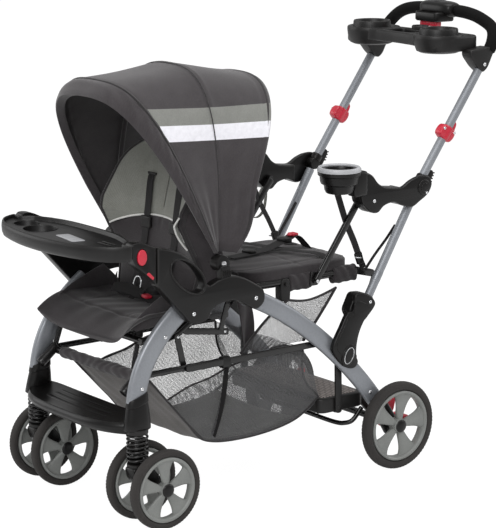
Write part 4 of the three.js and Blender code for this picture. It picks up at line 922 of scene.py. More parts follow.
# Canopy: one sheet sewn over three bows that turn about the hubs. A bow is an arch in a plane through
# the pivots: angle counts up from level behind, reach and half are its height and half width, and power
# is its squareness. Stripes are the heights of three edges at the front and at the rear of the hood.
canopy = {
    "bows": {"rear": {"angle": 60.5, "reach": 474, "half": 240, "power": 2.6},
             "middle": {"angle": 87, "reach": 449, "half": 213, "power": 2.9},
             "seam": {"angle": 114.5, "reach": 467, "half": 227, "power": 3.1},
             "edge": {"angle": 121, "reach": 456, "half": 219, "power": 3.1}},
    "start": 24, "stripes": [(976, 958), (938, 920), (901, 885)], "stripesY": (-506, -157),
    "columns": (18, 5, 5, 26), "rows": (26, 26, 12), "skirt": 34, "sag": 2, "lip": 9.5,
    "groove": 1.8, "fold": 2.6, "hemDeep": 9, "bend": 170}
hubPlace = np.array([0, hub["y"], hub["z"]])


def bowAt(place):  # a bow between two others has sizes between theirs
    stations = list(canopy["bows"].values())
    return {key: np.interp(place, [0, 1, 2, 3], [one[key] for one in stations]) for key in stations[0]}


# Across the hood the points gather on the stripes' edges, so that each stripe has faces of its own
def canopyAcross(place):
    bow = bowAt(place)
    lean = np.radians(bow["angle"])
    start, (firstY, lastY) = canopy["start"], canopy["stripesY"]
    share = unit((hub["y"] + bow["reach"] * np.cos(lean) - firstY) / (lastY - firstY))
    turns = []
    for front, rear in canopy["stripes"]:
        out = (front + (rear - front) * share - hub["z"]) / np.sin(lean)
        turns.append(np.arccos(unit((out - start) / (bow["reach"] - start))**(bow["power"] / 2)))
    knots = [0, *turns, np.pi / 2 - 0.001]
    half = np.concatenate([np.linspace(a, b, count, endpoint=False)
                           for a, b, count in zip(knots, knots[1:], canopy["columns"])] + [knots[-1:]])
    return np.concatenate([-half[:0:-1], half])


def bowPoints(place, across, grow=0.0):
    bow = bowAt(place)
    lean = np.radians(bow["angle"])
    x = np.sign(across) * np.abs(np.sin(across))**(2 / bow["power"]) * (bow["half"] + grow)
    reach = bow["reach"] + grow - canopy["start"]
    out = canopy["start"] + np.abs(np.cos(across))**(2 / bow["power"]) * reach
    up = out * np.sin(lean)
    behind = canopy["skirt"] * ridge(up - 70, 75) * unit(1 - place)
    return np.stack([x, hub["y"] + out * np.cos(lean) + behind, hub["z"] + up], 1)


# The sheet runs straight from bow to bow. It sags a little between them, rises over each bow's tube,
# puckers along its seams and folds in fans above the hubs, each as a smooth wave of the two directions.
def canopySheet():
    rows, slacks, places = [], [], []
    for start, count in enumerate(canopy["rows"]):
        inFront = start == 2
        first, last = canopyAcross(start), canopyAcross(start + 1)
        for t in np.linspace(0, 1, count, endpoint=inFront):
            rows.append(bowPoints(start, first) * (1 - t) + bowPoints(start + 1, last) * t)
            arch = np.sin(np.pi * t)
            slacks.append(canopy["lip"] * arch**0.7 if inFront else -canopy["sag"] * arch)
            places.append(start + t)
    points = np.array(rows)
    x, z = points[..., 0], points[..., 2]
    slack, place = np.array(slacks)[:, None], np.array(places)[:, None]
    normal = np.cross(np.gradient(points, axis=0), np.gradient(points, axis=1))
    normal /= np.linalg.norm(normal, axis=2)[..., None] + 1e-9
    centre = hubPlace + np.array([0, 0, 150])
    normal *= np.sign(np.sum(normal * (points - centre), axis=2))[..., None]
    low = unit(1 - (z - hub["z"]) / 260)
    fan = canopy["fold"] * np.sin(place * 19 + np.abs(x) / 80) * low**1.5
    fan += 1.8 * np.sin(place * 7.3 + 1) * low
    bows = sum(ridge(place - k, 0.035) for k in (0.06, 1))
    seams = sum(-canopy["groove"] * ridge(place - k, 0.012) for k in (0.11, 1.045, 2))
    ripple = 2.2 * np.sin(z / 6 + 14 * place) * ridge(place - 2.25, 0.3) * (place > 1.9)
    ripple += 0.5 * np.sin(z / 11 + 2) * ridge(place - 1, 0.07)
    broad = 1.6 * np.sin(x / 63 + place * 2.4) * np.sin(place * 3.1 + z / 90)
    lift = slack * (1 - low) + fan + bows + seams + ripple + broad
    near = unit((np.pi / 2 - np.abs(canopyAcross(1)))[None] / 0.12)  # the ends at the hubs stay flat
    return points + normal * (lift * near)[..., None]


# A line from the hub, leaning just in front of the middle bow
def canopyBend():
    lean = np.radians(canopy["bows"]["middle"]["angle"] + 3)
    return hubPlace, hubPlace + np.array([0, -np.sin(lean), np.cos(lean)]) * canopy["bend"]


# The front edge turns under in a hem. The lengthwise stripes are the grey and the white band.
def addCanopy():
    points = canopySheet()
    turn = np.linspace(0, np.pi * 0.9, 5)[1:, None, None]
    inward = points[-1:] - hubPlace
    inward /= np.linalg.norm(inward, axis=2)[..., None] + 1e-9
    hem = points[-1:] + (np.array([0, 1.0, 0.25]) * canopy["hemDeep"] - inward * 5) * (1 - np.cos(turn))
    sheet = np.concatenate([points, hem])
    columns = sheet.shape[1] - 1
    fromTop = np.abs(np.arange(columns) + 0.5 - columns / 2)
    band = np.array([0, 1, 2, 0])[np.searchsorted(np.cumsum(canopy["columns"]), fromTop)]
    kinds = np.tile(band, (len(sheet) - 1, 1))
    kinds[sum(canopy["rows"][:2]) - 1:] = 0
    addCloth("canopy_hood", sheet, "front_frame", "charcoal_fabric", charcoal, sleeves, flipped=True,
             lined=3, extra=["canopy_front_piping"], replaced=["canopy", "canopy_bow"],
             faceMaterials=kinds.ravel(), materials=(charcoal, greyStripe, satin, lining),
             other=("canopy_bow", *canopyBend()))


# A cord that follows a bow. low leaves out its ends at the hubs.
def bowCord(place, radius, grow, low=0.0):
    across = np.linspace(-np.pi / 2 + low, np.pi / 2 - low, 120)
    route = evenly(bowPoints(place, across, grow), 140)
    return tube(route, radius, 10, side=(0, 1, 0.3), ease=radius * 0.8)


sleeves = ["canopy_middle_sleeve", "canopy_rear_sleeve"]
for name, cord, turning in (("canopy_seam_stitching", bowCord(1.045, 1.3, 0.4, 0.05), None),
                            ("canopy_front_piping", bowCord(2, 3, 0.6, 0.02), ("canopy_bow", *canopyBend())),
                            (sleeves[0], bowCord(1, 6, -7.5, 0.03), None),
                            (sleeves[1], bowCord(0.04, 5.5, -5, 0.03), None)):
    addPiece(name, cord, "front_frame", "charcoal_fabric", darkPiping, other=turning)
addCanopy()
print("canopy ready")


# A pad: its top and its underside closed round their edges, over the solid that it stands for
def addPadded(name, top, under, body, node, fill, **how):
    shape = gridShape(np.concatenate([top, under], 1), wrapColumns=True, caps=True)
    piece = addPiece(name, shape, body, "charcoal_fabric", charcoalPad, [node], sharp=70, **how)


def padGrid(rows, columns):  # a pad's own directions: u across it from -1 to 1 and v along it from 0 to 1
    v, u = np.meshgrid(np.linspace(0, 1, rows), np.linspace(-1, 1, columns), indexing="ij")
    return u, v


# Front seat: foot and half are its half widths, grey the heights of the panel's seam at side and middle
seat = {"hinge": (-338, 452), "lean": 0.21, "footZ": 461, "height": 412, "foot": 146, "half": 163,
        "arch": 96, "grey": (640, 681), "bucket": 82, "rows": 90, "columns": 61}
seatUp = np.array([0, math.sin(seat["lean"]), math.cos(seat["lean"])])
seatFront = np.array([0, -math.cos(seat["lean"]), math.sin(seat["lean"])])


# How wide the back is at a height: it widens from its foot and closes in a flat arch
def backHalf(v):
    into = unit((v - 1 + seat["arch"] / seat["height"]) * seat["height"] / seat["arch"])
    return (seat["foot"] + (seat["half"] - seat["foot"]) * unit(v * 3)) * (1 - into**2.4)**(1 / 2.4)


# A place on the back, lifted off it. The sides of the back come forward in a shallow bucket.
def backPoint(u, v, lift):
    base = np.array([0, *seat["hinge"]]) + seatUp * 8
    curve = unit((v - 0.28) * 4) * (1 - 0.65 * unit((v - 0.6) * 3))
    lift = lift + seat["bucket"] * curve * np.abs(u)**2.6
    place = base + seatUp * (v * seat["height"])[..., None] + seatFront * lift[..., None]
    place[..., 0] += u * np.maximum(backHalf(v), 3)
    return place


def crossSeam(u):  # share of the height where the grey panel ends, lower at the sides
    side, top = [(z - seat["footZ"]) / seat["height"] for z in seat["grey"]]
    top /= math.cos(seat["lean"])
    return top - (top - side) * np.abs(u)**2.2


# How far the front swells: it draws in at the edges, and the middle seam, the cross seam under the grey
# panel and two channels press into it
def backSwell(u, v):
    edge = unit(1 - np.abs(u)**5)**0.5 * unit(np.sin(np.pi * np.clip(v, 0.004, 0.996)))**0.28
    seam = 3.2 * ridge(u, 0.03) * unit((v - 0.45) * 9)
    cross = 3.0 * ridge(v - crossSeam(u), 0.012)
    channels = 2.4 * ridge(np.abs(u) - 0.62, 0.035) * unit((v - 0.5) * 8)
    folds = 1.5 * np.sin(v * 31 + u * 2.5) * unit(0.45 - v) + 0.72 * np.sin(u * 9 + v * 13)
    return edge * (9 + 7 * (1 - u * u) + folds - seam - cross - channels)


def addSeatBack():
    u, v = padGrid(seat["rows"], seat["columns"])
    front = backPoint(u, v, backSwell(u, v))
    rear = backPoint(u[:, ::-1], v, -1.5 - 12 * unit(v * 8) - 9 * unit((v - 0.5) * 4))
    faces = seat["columns"] - 1
    middleU, middleV = (u[:-1, :-1] + u[:-1, 1:]) / 2, (v[:-1, 1:] + v[1:, 1:]) / 2
    kinds = np.zeros((seat["rows"] - 1, 2 * seat["columns"]), int)
    kinds[:, :faces] = middleV > crossSeam(middleU)
    addPadded("seat_back_pad", front, rear, "seat_back", "seat_back", 0.55,
              faceMaterials=np.append(kinds.ravel(), [0, 0]), materials=(charcoalPad, greyCloth))


def backCord(u, v, radius, lift):
    u, v = np.broadcast_arrays(np.asarray(u, float), np.asarray(v, float))
    route = backPoint(u, v, backSwell(u, v) + lift)
    return tube(evenly(route, 90), radius, 8, side=tuple(seatFront + np.array([0.01, 0, 0])),
                ease=radius * 0.7)


# The binding's route: up one edge of the back, over its arch and down the other
def archRoute():
    rise = np.concatenate([np.linspace(0.03, 0.76, 40), np.linspace(0.77, 0.9985, 30)])
    v = np.concatenate([rise, rise[::-1]])
    return backPoint(np.repeat([-1.0, 1.0], len(rise)), v, np.full(len(v), 2.0))


acrossSeat = np.linspace(-0.97, 0.97, 70)
addSeatBack()
addPiece("seat_back_piping", backCord(acrossSeat, crossSeam(acrossSeat), 2.6, 2.4), "seat_back",
         "charcoal_fabric", piping)
addPiece("seat_back_middle_seam", backCord(0, np.linspace(0.6, 0.985, 50), 1.5, 2.4), "seat_back",
         "charcoal_fabric", greyCloth)
addPiece("seat_back_edge_binding", tube(evenly(archRoute(), 200), 3.2, 8, side=tuple(seatFront), ease=2),
         "seat_back", "charcoal_fabric", darkPiping)


# Straps: a flat band that follows a route, its width square to the given way
def strap(route, width, thick=1.6, side=(1, 0, 0), count=40):
    return tube(evenly(smoothRoute(route, 160), count), thick / 2, 12, side=side, across=width / 2,
                power=4.5, ease=thick / 2)


# A place on the front of the back, by its distance from the middle and its height
def onBack(x, z, lift=0.0):
    v = np.array([(z - seat["footZ"]) / seat["height"] / math.cos(seat["lean"])])
    u = np.array([x / backHalf(v)[0]])
    return backPoint(u, v, backSwell(u, v) + lift)[0]


def blockAt(place, low, high, ease):
    return block(place + np.array(low), place + np.array(high), ease)


shoulder = {"x": 62, "width": 25.08, "top": 778, "slot": 775, "adjuster": 662}
shoulderStraps, buckles = [], []
for x in (-shoulder["x"], shoulder["x"]):
    route = [onBack(x, shoulder["top"], -6), onBack(x, 772, 2), onBack(x + 8, 700, 4),
             onBack(x + 14, 620, 5), onBack(x * 0.9 + 8, 540, 14), onBack(x * 0.5, 500, 36)]
    shoulderStraps.append(strap(route, shoulder["width"]))
    buckles.append(blockAt(onBack(x + 12, shoulder["adjuster"], 5), (-19, -5, -16), (19, 5, 12), 3))
    buckles.append(blockAt(onBack(x, shoulder["slot"], 1), (-17, -3, -3), (17, 2, 3), 1.2))
addPiece("harness_shoulder_straps", joined(*shoulderStraps), "seat_back", "charcoal_fabric", webbing)
addPiece("harness_adjusters", joined(*buckles), "seat_back", "black_plastic", blackPlastic)

# Seat pad: a thick quilted cushion whose front lip hangs over the frame in a shallow point at each side
seatPad = {"half": 182, "front": -551, "rear": -352, "top": 470, "drop": 38, "thick": 24, "tip": 24,
           "rows": 60, "columns": 71}


def padPoint(u, v, lift):
    front = seatPad["front"] + 12 * (1 - np.abs(u)**3)
    y = front + v * (seatPad["rear"] - front)
    fall = seatPad["drop"] * (1 - unit(v * 2.1))**2.2
    z = seatPad["top"] - fall + 48 * unit(v - 0.7)**2 + seatPad["tip"] * np.abs(u)**4
    return np.stack([u * (seatPad["half"] - 14 * v), y, z + lift], -1)


def padSwell(u, v):
    edge = unit(1 - np.abs(u)**6)**0.5 * unit(np.sin(np.pi * np.clip(v, 0.01, 0.99)))**0.4
    quilt = 2.7 * ridge(v - 0.34, 0.02) + 1.8 * ridge(np.abs(u) - 0.55, 0.02) * (v > 0.34)
    folds = 2.2 * np.sin(u * 7 + v * 5) * ridge(v - 0.15, 0.2) + 0.8 * np.sin(u * 17 - v * 9 + 1)
    folds += 1.3 * np.sin(v * 26 + 3 * u) * np.abs(u)**2
    return edge * (6 + 5 * (1 - u * u) + folds - quilt)


def addSeatPad():
    u, v = padGrid(seatPad["rows"], seatPad["columns"])
    back = u[:, ::-1]
    thin = np.clip(1 - np.abs(back)**5, 0.1, 1)**0.5 * np.sin(np.pi * np.clip(v, 0.03, 0.97))**0.3
    addPadded("seat_cushion", padPoint(u, v, padSwell(u, v)),
              padPoint(back * 0.985, v, -0.8 * seatPad["thick"] * thin), "front_frame", "seat_pad", 0.5)


addSeatPad()
print("seat ready")


def crossRod(half, place, radius, sides=20, **how):  # a rod from side to side through a place in y and z
    return rod((-half, *place), (half, *place), radius, sides, **how)


# Rear legs: flat ovals from the armrests down to the axle
rearLeg = {"places": [(-214, 510), (-50, 450), (160, 268), (259, 98)], "width": 45}
axlePlace = (rearWheel["y"], rearWheel["z"])
rearLegRoute = bezier([(legX, *place) for place in rearLeg["places"]], 60)
addPair("rear_leg_tube", tube(rearLegRoute, rearLeg["width"] / 2, 40, across=legHalf, power=2.7, ease=5),
        "rear_frame", "frame_grey", legGrey, ["rear_leg"])
footCap = tube(rearLegRoute[-9:] + np.array([0, 1.5, -3]), rearLeg["width"] / 2 + 1.5, 36,
               across=legHalf + 1.2, power=2.7, ease=4)
addPair("rear_leg_foot_cap", footCap, "rear_frame", "black_plastic", glossBlack)
addPair("rear_leg_rivets", rivet(176, 208), "rear_frame", "silver_paint", chrome)
addPiece("rear_axle_tube", joined(crossRod(196, axlePlace, 9, 28, ease=1),
                                  crossRod(255, axlePlace, 5, ease=1)),
         "rear_frame", "black_steel", enamel, ["rear_axle"])

# Standing platform: a moulded tray with a block tread, hung on flat hangers
platform = {"half": 189, "front": 40, "rear": 184, "low": 165, "high": 203, "corner": 24, "border": 12,
            "ribs": range(-160, 161, 40), "lugX": 150, "hangerTop": (92, 304), "hangerFoot": (95, 172),
            "hangerWidth": 20, "hangerThick": 6,
            "bar": [(188, 176, 162), (184, 146, 130), (168, 133, 123), (150, 128, 121)]}


def hangerShape():
    half = platform["hangerWidth"] / 2
    (topY, topZ), (footY, footZ) = platform["hangerTop"], platform["hangerFoot"]
    outline = roundCorners([(footY - half, footZ - half), (footY + half, footZ - half),
                            (topY + half, topZ + half), (topY - half, topZ + half)], half * 0.95, 7)
    outer = legX - legHalf - 0.4
    strip = plate(outline, outer - platform["hangerThick"], outer, 1.2)
    return joined(strip, rivet(topY, topZ, outer, 4.6), rivet(footY, footZ + 6, outer, 4.6))


def lugShape(x):  # hangs the platform on the axle tube
    y, z = axlePlace
    outline = smoothRoute([(162, 168), (160, 196), (186, 196), (y + 2, z + 24), (y + 13, z + 6),
                           (y + 10, z + 12), (y - 12, z + 10), (190, 168)], 60, closed=True)
    return plate(outline, x - 6, x + 6, 2)


def platformPlan(inset):  # the platform from above, drawn in on all sides
    half, front, rear = platform["half"] - inset, platform["front"] + inset, platform["rear"] - inset
    return boxOutline((-half, front), (half, rear), platform["corner"] - inset * 2 / 3, 8)


def addPlatform():
    low, high, lugX, left = platform["low"], platform["high"], platform["lugX"], platform["bar"]
    ribs = [block((x - 1.6, platform["front"] + 14, low - 6), (x + 1.6, platform["rear"] - 14, low + 4), 0.8)
            for x in platform["ribs"]]
    moulding = joined(plate(platformPlan(0), low, high, 5, plane="top"),
                      block((-193, 85, 163), (193, 105, 182), 3),
                      hangerShape(), mirrored(hangerShape()), lugShape(lugX), lugShape(-lugX), *ribs)
    addPiece("platform_moulding", moulding, "rear_frame", "black_plastic", blackPlastic, ["platform"])
    addPiece("platform_tread", plate(platformPlan(platform["border"]), high - 3, high + 1.8, 1.6,
                                     plane="top"), "rear_frame", "black_plastic", tread)
    route = smoothRoute([*flipSide(left), (0, *left[-1][1:]), *left[::-1]], 200)
    addPiece("platform_bent_bar", tube(evenly(route, 120), 6, 16, side=(0, 0.3, 1), ease=2), "rear_frame",
             "black_steel", enamel, ["platform_bar"])


addPlatform()

# Brake levers: a red cam with a tongue that meets the wheel and a pedal behind it
brakeOutline = smoothRoute([
    (236, 113), (244, 129), (262, 160), (275, 171), (289, 168), (286, 142), (282, 130), (316, 125),
    (320, 112), (312, 101), (272, 101), (252, 97), (240, 101)], 90, closed=True)
brakeShape = joined(plate(brakeOutline, 177, 189, 3, holes=[oval(axlePlace, 9.6, 9.6)]),
                    block((172, 298, 104), (212, 318, 122), 5))
addPair("brake_pedal", brakeShape, "brake", "red_plastic", red, ["brake_lever"], perSide=True)
print("rear frame ready")

# Fold links: flat castings on the rear legs with a socket for the lower tube and a bare oval badge
foldLink = {"badge": (90, 320), "badgeHalf": (29, 20), "ringHalf": (21, 13), "badgeTurn": 1.1, "thick": 15.5}
linkOutline = smoothRoute([
    (107, 432), (114, 470), (140, 472), (172, 452), (178, 438), (162, 418), (145, 404), (128, 376),
    (119, 345), (118, 314), (123, 298), (113, 285), (88, 288), (60, 312), (42, 340), (47, 360), (66, 392),
    (90, 428)], 120, closed=True)
linkFace = housingInner + foldLink["thick"]
socket = plate(roundCorners([(96, 430), (118, 472), (150, 470), (178, 454), (174, 430), (146, 402),
                             (112, 400)], 10, 6), legX - legHalf, housingInner + 9, 3)
badgeRing = oval(foldLink["badge"], *foldLink["ringHalf"], 64, turn=foldLink["badgeTurn"])
linkCastings = joined(
    plate(linkOutline, housingInner, linkFace, 4), socket,
    plate(linkOutline * 0.8 + np.array([18.5, 74]), linkFace - 1.5, linkFace + 1.1, 1.8),
    plate(oval(foldLink["badge"], *foldLink["badgeHalf"], 48, turn=foldLink["badgeTurn"]), linkFace - 3.5,
          linkFace + 3.1, 2))
addPair("fold_link_casting", linkCastings, "lower_handle", "black_plastic", glossBlack, ["fold_link"])
addPair("fold_link_rivets",
        joined(tube(np.insert(badgeRing, 0, linkFace + 3.2, axis=1), 1.1, 8, closed=True),
               rivet(160, 446, linkFace - 0.1, 4.5)), "lower_handle", "silver_paint", chrome)

# Lower tubes with a plain band. Each stops short of the elbow, and bands are lengths up from the foot.
handle = {"foot": (148, 408), "elbow": (338, 719), "rivet": (548, 1007), "radius": 11, "short": 17.4,
          "bands": (98, 122)}


def upLowerTube(length):
    foot, way = np.array(handle["foot"], float), np.subtract(handle["elbow"], handle["foot"])
    return (legX, *(foot + way / np.linalg.norm(way) * length))


lowerLength = math.dist(handle["foot"], handle["elbow"]) - handle["short"]
addPair("lower_handle_tube", rod(upLowerTube(0), upLowerTube(lowerLength), handle["radius"], 36, ease=1.5,
                                 steps=8), "lower_handle", "silver_paint", silver, ["lower_tube"])
tubeBand = rod(*[upLowerTube(length) for length in handle["bands"]], handle["radius"] + 0.5, 36, ease=0.4,
               steps=4)
addPair("lower_tube_bands", tubeBand, "lower_handle", "silver_paint", legGrey)

# Arms: moulded brackets from the tubes forwards, whose front parts reach in over the seat frame
armOuter = legX + handle["radius"] + 0.4
armRound = (336, 716)
armOutline = smoothRoute([
    (134, 700), (130, 742), (131, 769), (148, 772), (166, 764), (186, 742), (207, 731), (240, 725),
    (266, 724), (292, 737), (320, 745), (352, 743), (364, 724), (354, 700), (324, 681), (298, 669),
    (268, 676), (238, 688), (206, 683), (185, 668), (164, 671), (146, 686)], 160, closed=True)
armShape = joined(plate(armOutline, armOuter, armOuter + 14, 4.5),
                  plate(fromGap(armOutline[armOutline[:, 0] < 262]), armOuter - 29, armOuter + 8, 4),
                  plate(oval(armRound, 20, 20, 40), armOuter + 6, armOuter + 17, 3),
                  plate(oval(armRound, 12, 12, 40), armOuter + 14, armOuter + 19, 2))
addPair("arm_bracket", armShape, "lower_handle", "black_plastic", glossBlack, ["arm"])
addPair("arm_rivets", joined(rivet(172, 699, armOuter + 14, 4.8), rivet(342, 702, armOuter + 17, 3.6)),
        "lower_handle", "silver_paint", chrome)

# Cup holder on the left arm: a cup of radius and height, its pale ring and the neck that carries it
cup = (222, 67, 8)
cupProfile = [(0, 722), (30, 722), (33, 724), (35, 729), (38, 742), (45, 746), (47, 752), (48, 764),
              (52.5, 767), (53, 772), (53, 779), (50, 782), (45, 782), (43.5, 780), (42.6, 772), (36, 730),
              (33, 727), (0, 727)]
ringProfile = [(43.4, 781), (50.4, 781), (51.6, 778), (53.6, 776), (54, 782), (51, 786.6), (46, 786.6),
               (43.2, 784)]
addPiece("cup_holder_body", revolved(cupProfile, cup, sides=72), "lower_handle", "black_plastic", glossBlack,
         ["cup_holder"])
addPiece("cup_holder_ring", revolved(ringProfile, cup, sides=96, closed=True), "lower_handle",
         "black_plastic", paleRing)
addPiece("cup_holder_neck", block((204, 104, 716), (240, 148, 778), 7), "lower_handle", "black_plastic",
         glossBlack)

# Struts from the arms down to the bench frame, with a pin through each end
strut = {"x": 178, "top": (172, 699), "foot": (32, 507), "topPin": 190, "footPin": 165}
strutTop, strutFoot = (strut["x"], *strut["top"]), (strut["x"], *strut["foot"])
strutShape = joined(tube(np.linspace(strutTop, strutFoot, 6), 8.5, 24, across=6.5, power=3, ease=3),
                    rod(strutTop, (strut["topPin"], *strut["top"]), 7, 20),
                    rod((strut["footPin"], *strut["foot"]), strutFoot, 7, 20))
addPair("strut_bar", strutShape, "struts", "black_steel", enamel, ["strut"])
print("links, arms and struts ready")

# Upper handle: one bent tube, whose places are the same on both sides
handleSide = [(legX, *handle["elbow"]), (legX, 428.3, 842.8), (legX, *handle["rivet"]), (legX, 585, 1060),
              (190, 601.6, 1092), (150, 600, 1114), (100, 600, 1125)]
handleRoute = evenly(smoothRoute([*handleSide, (0, 600, 1128), *flipSide(handleSide[::-1])], 900), 500)
handleLength = lengthAlong(handleRoute)[-1]
handleSquare = (0, 0.81, -0.59)  # square to the legs and to the top, so the section never turns over


def handlePart(start, end, count):  # a stretch of the handle by shares of its length
    return atLengths(handleRoute, np.linspace(start, end, count) * handleLength)


knuckles = [rod((sign * (legX - 11), *handle["elbow"]), (sign * (legX + 11), *handle["elbow"]), 16, 40,
                ease=2.5)
            for sign in (1, -1)]
addPiece("upper_handle_tube", tube(handlePart(0, 1, 240), handle["radius"], 28, side=handleSquare),
         "upper_handle", "silver_paint", silver, ["handle_tube"])
addPiece("elbow_knuckles", joined(*knuckles), "upper_handle", "silver_paint", glossBlack)

# Elbow fittings: a collar on the tube above each knuckle, with a ribbed tab behind
elbowPlace = np.array([legX, *handle["elbow"]])
elbowWay = np.array([0, 210, 288]) / math.hypot(210, 288)
elbowTab = roundCorners([(352, 704), (366, 712), (384, 742), (380, 754), (366, 748)], 6)
elbowRibs = [block((legX - 6, 372 + 3 * k, 722 + 7 * k), (legX + 8, 379 + 3 * k, 725 + 7 * k), 1)
             for k in range(4)]
elbowSleeve = rod(elbowPlace + elbowWay * 8, elbowPlace + elbowWay * 27, 15, 36, ease=4, steps=6)
addPair("elbow_collar", joined(elbowSleeve, plate(elbowTab, legX - 7, legX + 9, 3), *elbowRibs),
        "upper_handle", "black_plastic", glossBlack)

# Grips: foam sleeves with soft ends, each a stretch of the handle
grip = {"left": (0.3, 0.457), "right": (0.543, 0.7), "radius": 16}
for word in sideSigns:
    addPiece(f"foam_grip_{word}", tube(handlePart(*grip[word], 50), grip["radius"], 32, side=handleSquare,
                                       ease=5), "upper_handle", "foam_grip", foam, [f"grip_{word}"])

# Release collars: a saddle with two lobes and rivets, and a tab to push up. Their outlines are lengths
# up the tube and behind it.
collar = {
    "place": np.array([legX, 428.3, 842.8]), "half": 13, "tabHalf": 7, "rivets": [(3, -19), (10, 17)],
    "saddle": [(17, -10), (13, -20), (-2, -25), (-14, -23), (-19, -12), (-21, 5), (-18, 17), (-6, 23),
               (8, 23), (15, 19), (17, 8)],
    "tab": [(6, 8), (20, 8), (33, 5), (37, 10), (33, 16), (20, 19), (6, 20)]}


def besideTube(places):  # lengths up the tube and behind it to y and z
    up, behind = np.array(places, float).T
    return np.stack([collar["place"][1] + up * elbowWay[1] + behind * elbowWay[2],
                     collar["place"][2] + up * elbowWay[2] - behind * elbowWay[1]], 1)


def collarShape():
    saddle, tab = [besideTube(smoothRoute(collar[key], count, closed=True))
                   for key, count in (("saddle", 70), ("tab", 40))]
    sleeve = rod(collar["place"] - elbowWay * 19, collar["place"] + elbowWay * 16, 15.5, 36, ease=3, steps=8)
    return joined(plate(saddle, legX - collar["half"], legX + collar["half"], 5),
                  plate(tab, legX - collar["tabHalf"], legX + collar["tabHalf"], 2.4), sleeve)


addPair("release_saddle", collarShape(), "release_collar", "red_plastic", red, ["release_collar"],
        perSide=True, sharp=45)
pins = joined(*[rivet(*place, legX + collar["half"], 4.2) for place in besideTube(collar["rivets"])])
addPair("release_saddle_rivets", pins, "release_collar", "silver_paint", chrome, perSide=True)

# Console: a rounded housing round the middle of the handle, with the squeeze trigger under it
console = {"half": 60, "y": 594, "z": 1129, "bossLow": 1099, "bossHigh": 1124, "triggerLow": 1086,
           "triggerHigh": 1098, "ridges": 6}


def consoleShape():
    t = np.linspace(-1, 1, 41)[:, None]
    swell = (1 - np.abs(t)**3.4)**0.5
    angle = roundAngles(40)[None]
    y = console["y"] + bent(np.cos(angle), 0.75) * (14 + 16 * swell)
    z = console["z"] + bent(np.sin(angle), 0.75) * (12 + 10 * swell)
    return gridShape(np.stack([t * console["half"] + 0 * y, y, z], 2), wrapColumns=True, caps=True)


pocket = roundCorners([(-37, 549), (33, 549), (30, 580), (-34, 580)], 6, 6)
boss = plate(roundCorners([(-45, 543), (41, 543), (48, 604), (-50, 604)], 11, 6), console["bossLow"],
             console["bossHigh"], 5, plane="top", holes=[pocket])
addPiece("console_housing", joined(consoleShape(), boss), "upper_handle", "black_plastic", glossBlack,
         ["console"])
lid = revolved([(0, 2.4), (12, 2.2), (16, 1.2), (17.5, -1), (0, -1)], (0, console["y"], console["z"] + 20.6),
               sides=48)
addPiece("console_lid", lid, "upper_handle", "black_plastic", blackPlastic)
triggerOutline = roundCorners([(-34, 552), (30, 552), (27, 577), (-31, 577)], 6, 6)
triggerRidges = [block((8 * k - 22, 550.6, console["triggerLow"] + 2),
                       (8 * k - 18.5, 553, console["triggerHigh"] - 2),
                       0.8) for k in range(console["ridges"])]
triggerGrip = joined(plate(triggerOutline, console["triggerLow"], console["triggerHigh"], 3, plane="top"),
                     *triggerRidges)
addPiece("squeeze_trigger", triggerGrip, "trigger", "red_plastic", red, ["trigger"])

# Parent tray: two cup wells joined by a sunken bridge and carried on brackets
parentTray = {"wellX": 130, "wellY": 472, "low": 1036, "floor": 1044, "deck": 1082, "rim": 49,
              "rimTop": 1097, "bridgeLow": 1051, "dish": (1052, 1062), "shelfLow": 1041}


def parentTrayShape():
    low, floor, deck, rim, top = [parentTray[key] for key in ("low", "floor", "deck", "rim", "rimTop")]
    profile = [(0, low), (48, low), (57, low + 4), (63, low + 20), (65, deck - 10), (65, deck - 3),
               (63.5, deck), (61, deck + 0.8), (58, deck), (54, deck - 2), (50.5, deck - 1),
               (rim + 0.5, deck + 4), (rim, top - 3), (rim - 1.5, top), (44, top), (42.4, top - 2),
               (41, deck - 2), (38, floor + 4), (35, floor), (0, floor)]
    wells = [revolved(profile, (sign * parentTray["wellX"], parentTray["wellY"], 0), sides=88)
             for sign in (1, -1)]
    bridgeOutline = smoothRoute([(-96, 425), (-60, 428), (0, 432), (60, 428), (96, 425), (104, 470),
                                 (96, 520), (60, 527), (0, 529), (-60, 527), (-96, 520),
                                 (-104, 470)], 90, closed=True)
    bridge = plate(bridgeOutline, parentTray["bridgeLow"], deck - 1, 5, plane="top",
                   holes=[boxOutline((-52, 444), (52, 514), 14)])
    dish = plate(boxOutline((-54, 442), (54, 516), 14), *parentTray["dish"], 1, plane="top")
    return joined(*wells, bridge, dish)


def bracketShape():
    cheek = plate(roundCorners([(500, 1046), (500, 1030), (524, 1002), (544, 986), (560, 998), (584, 1044),
                                (566, 1052)], 8, 6), legX - 24, legX + 13.4, 4)
    shelf = plate(roundCorners([(96, 418), (166, 420), (190, 440), (197, 480), (197, 540), (180, 556),
                                (96, 552)],
                               22, 8), parentTray["shelfLow"], parentTray["deck"] - 2, 6, plane="top")
    return joined(cheek, shelf)


knob = revolved([(0, 1084), (20, 1084), (22, 1086), (22, 1092), (20.5, 1094), (17, 1093), (16, 1090),
                 (0, 1089)], (28, 500, 0), sides=40)
addPiece("parent_tray_moulding", joined(parentTrayShape(), bracketShape(), mirrored(bracketShape()), knob),
         "upper_handle", "black_plastic", blackPlastic, ["parent_tray"], sharp=34)
addPair("parent_tray_rivets", rivet(*handle["rivet"], legX + 13.2, 5), "upper_handle", "silver_paint",
        chrome)
print("handle ready")

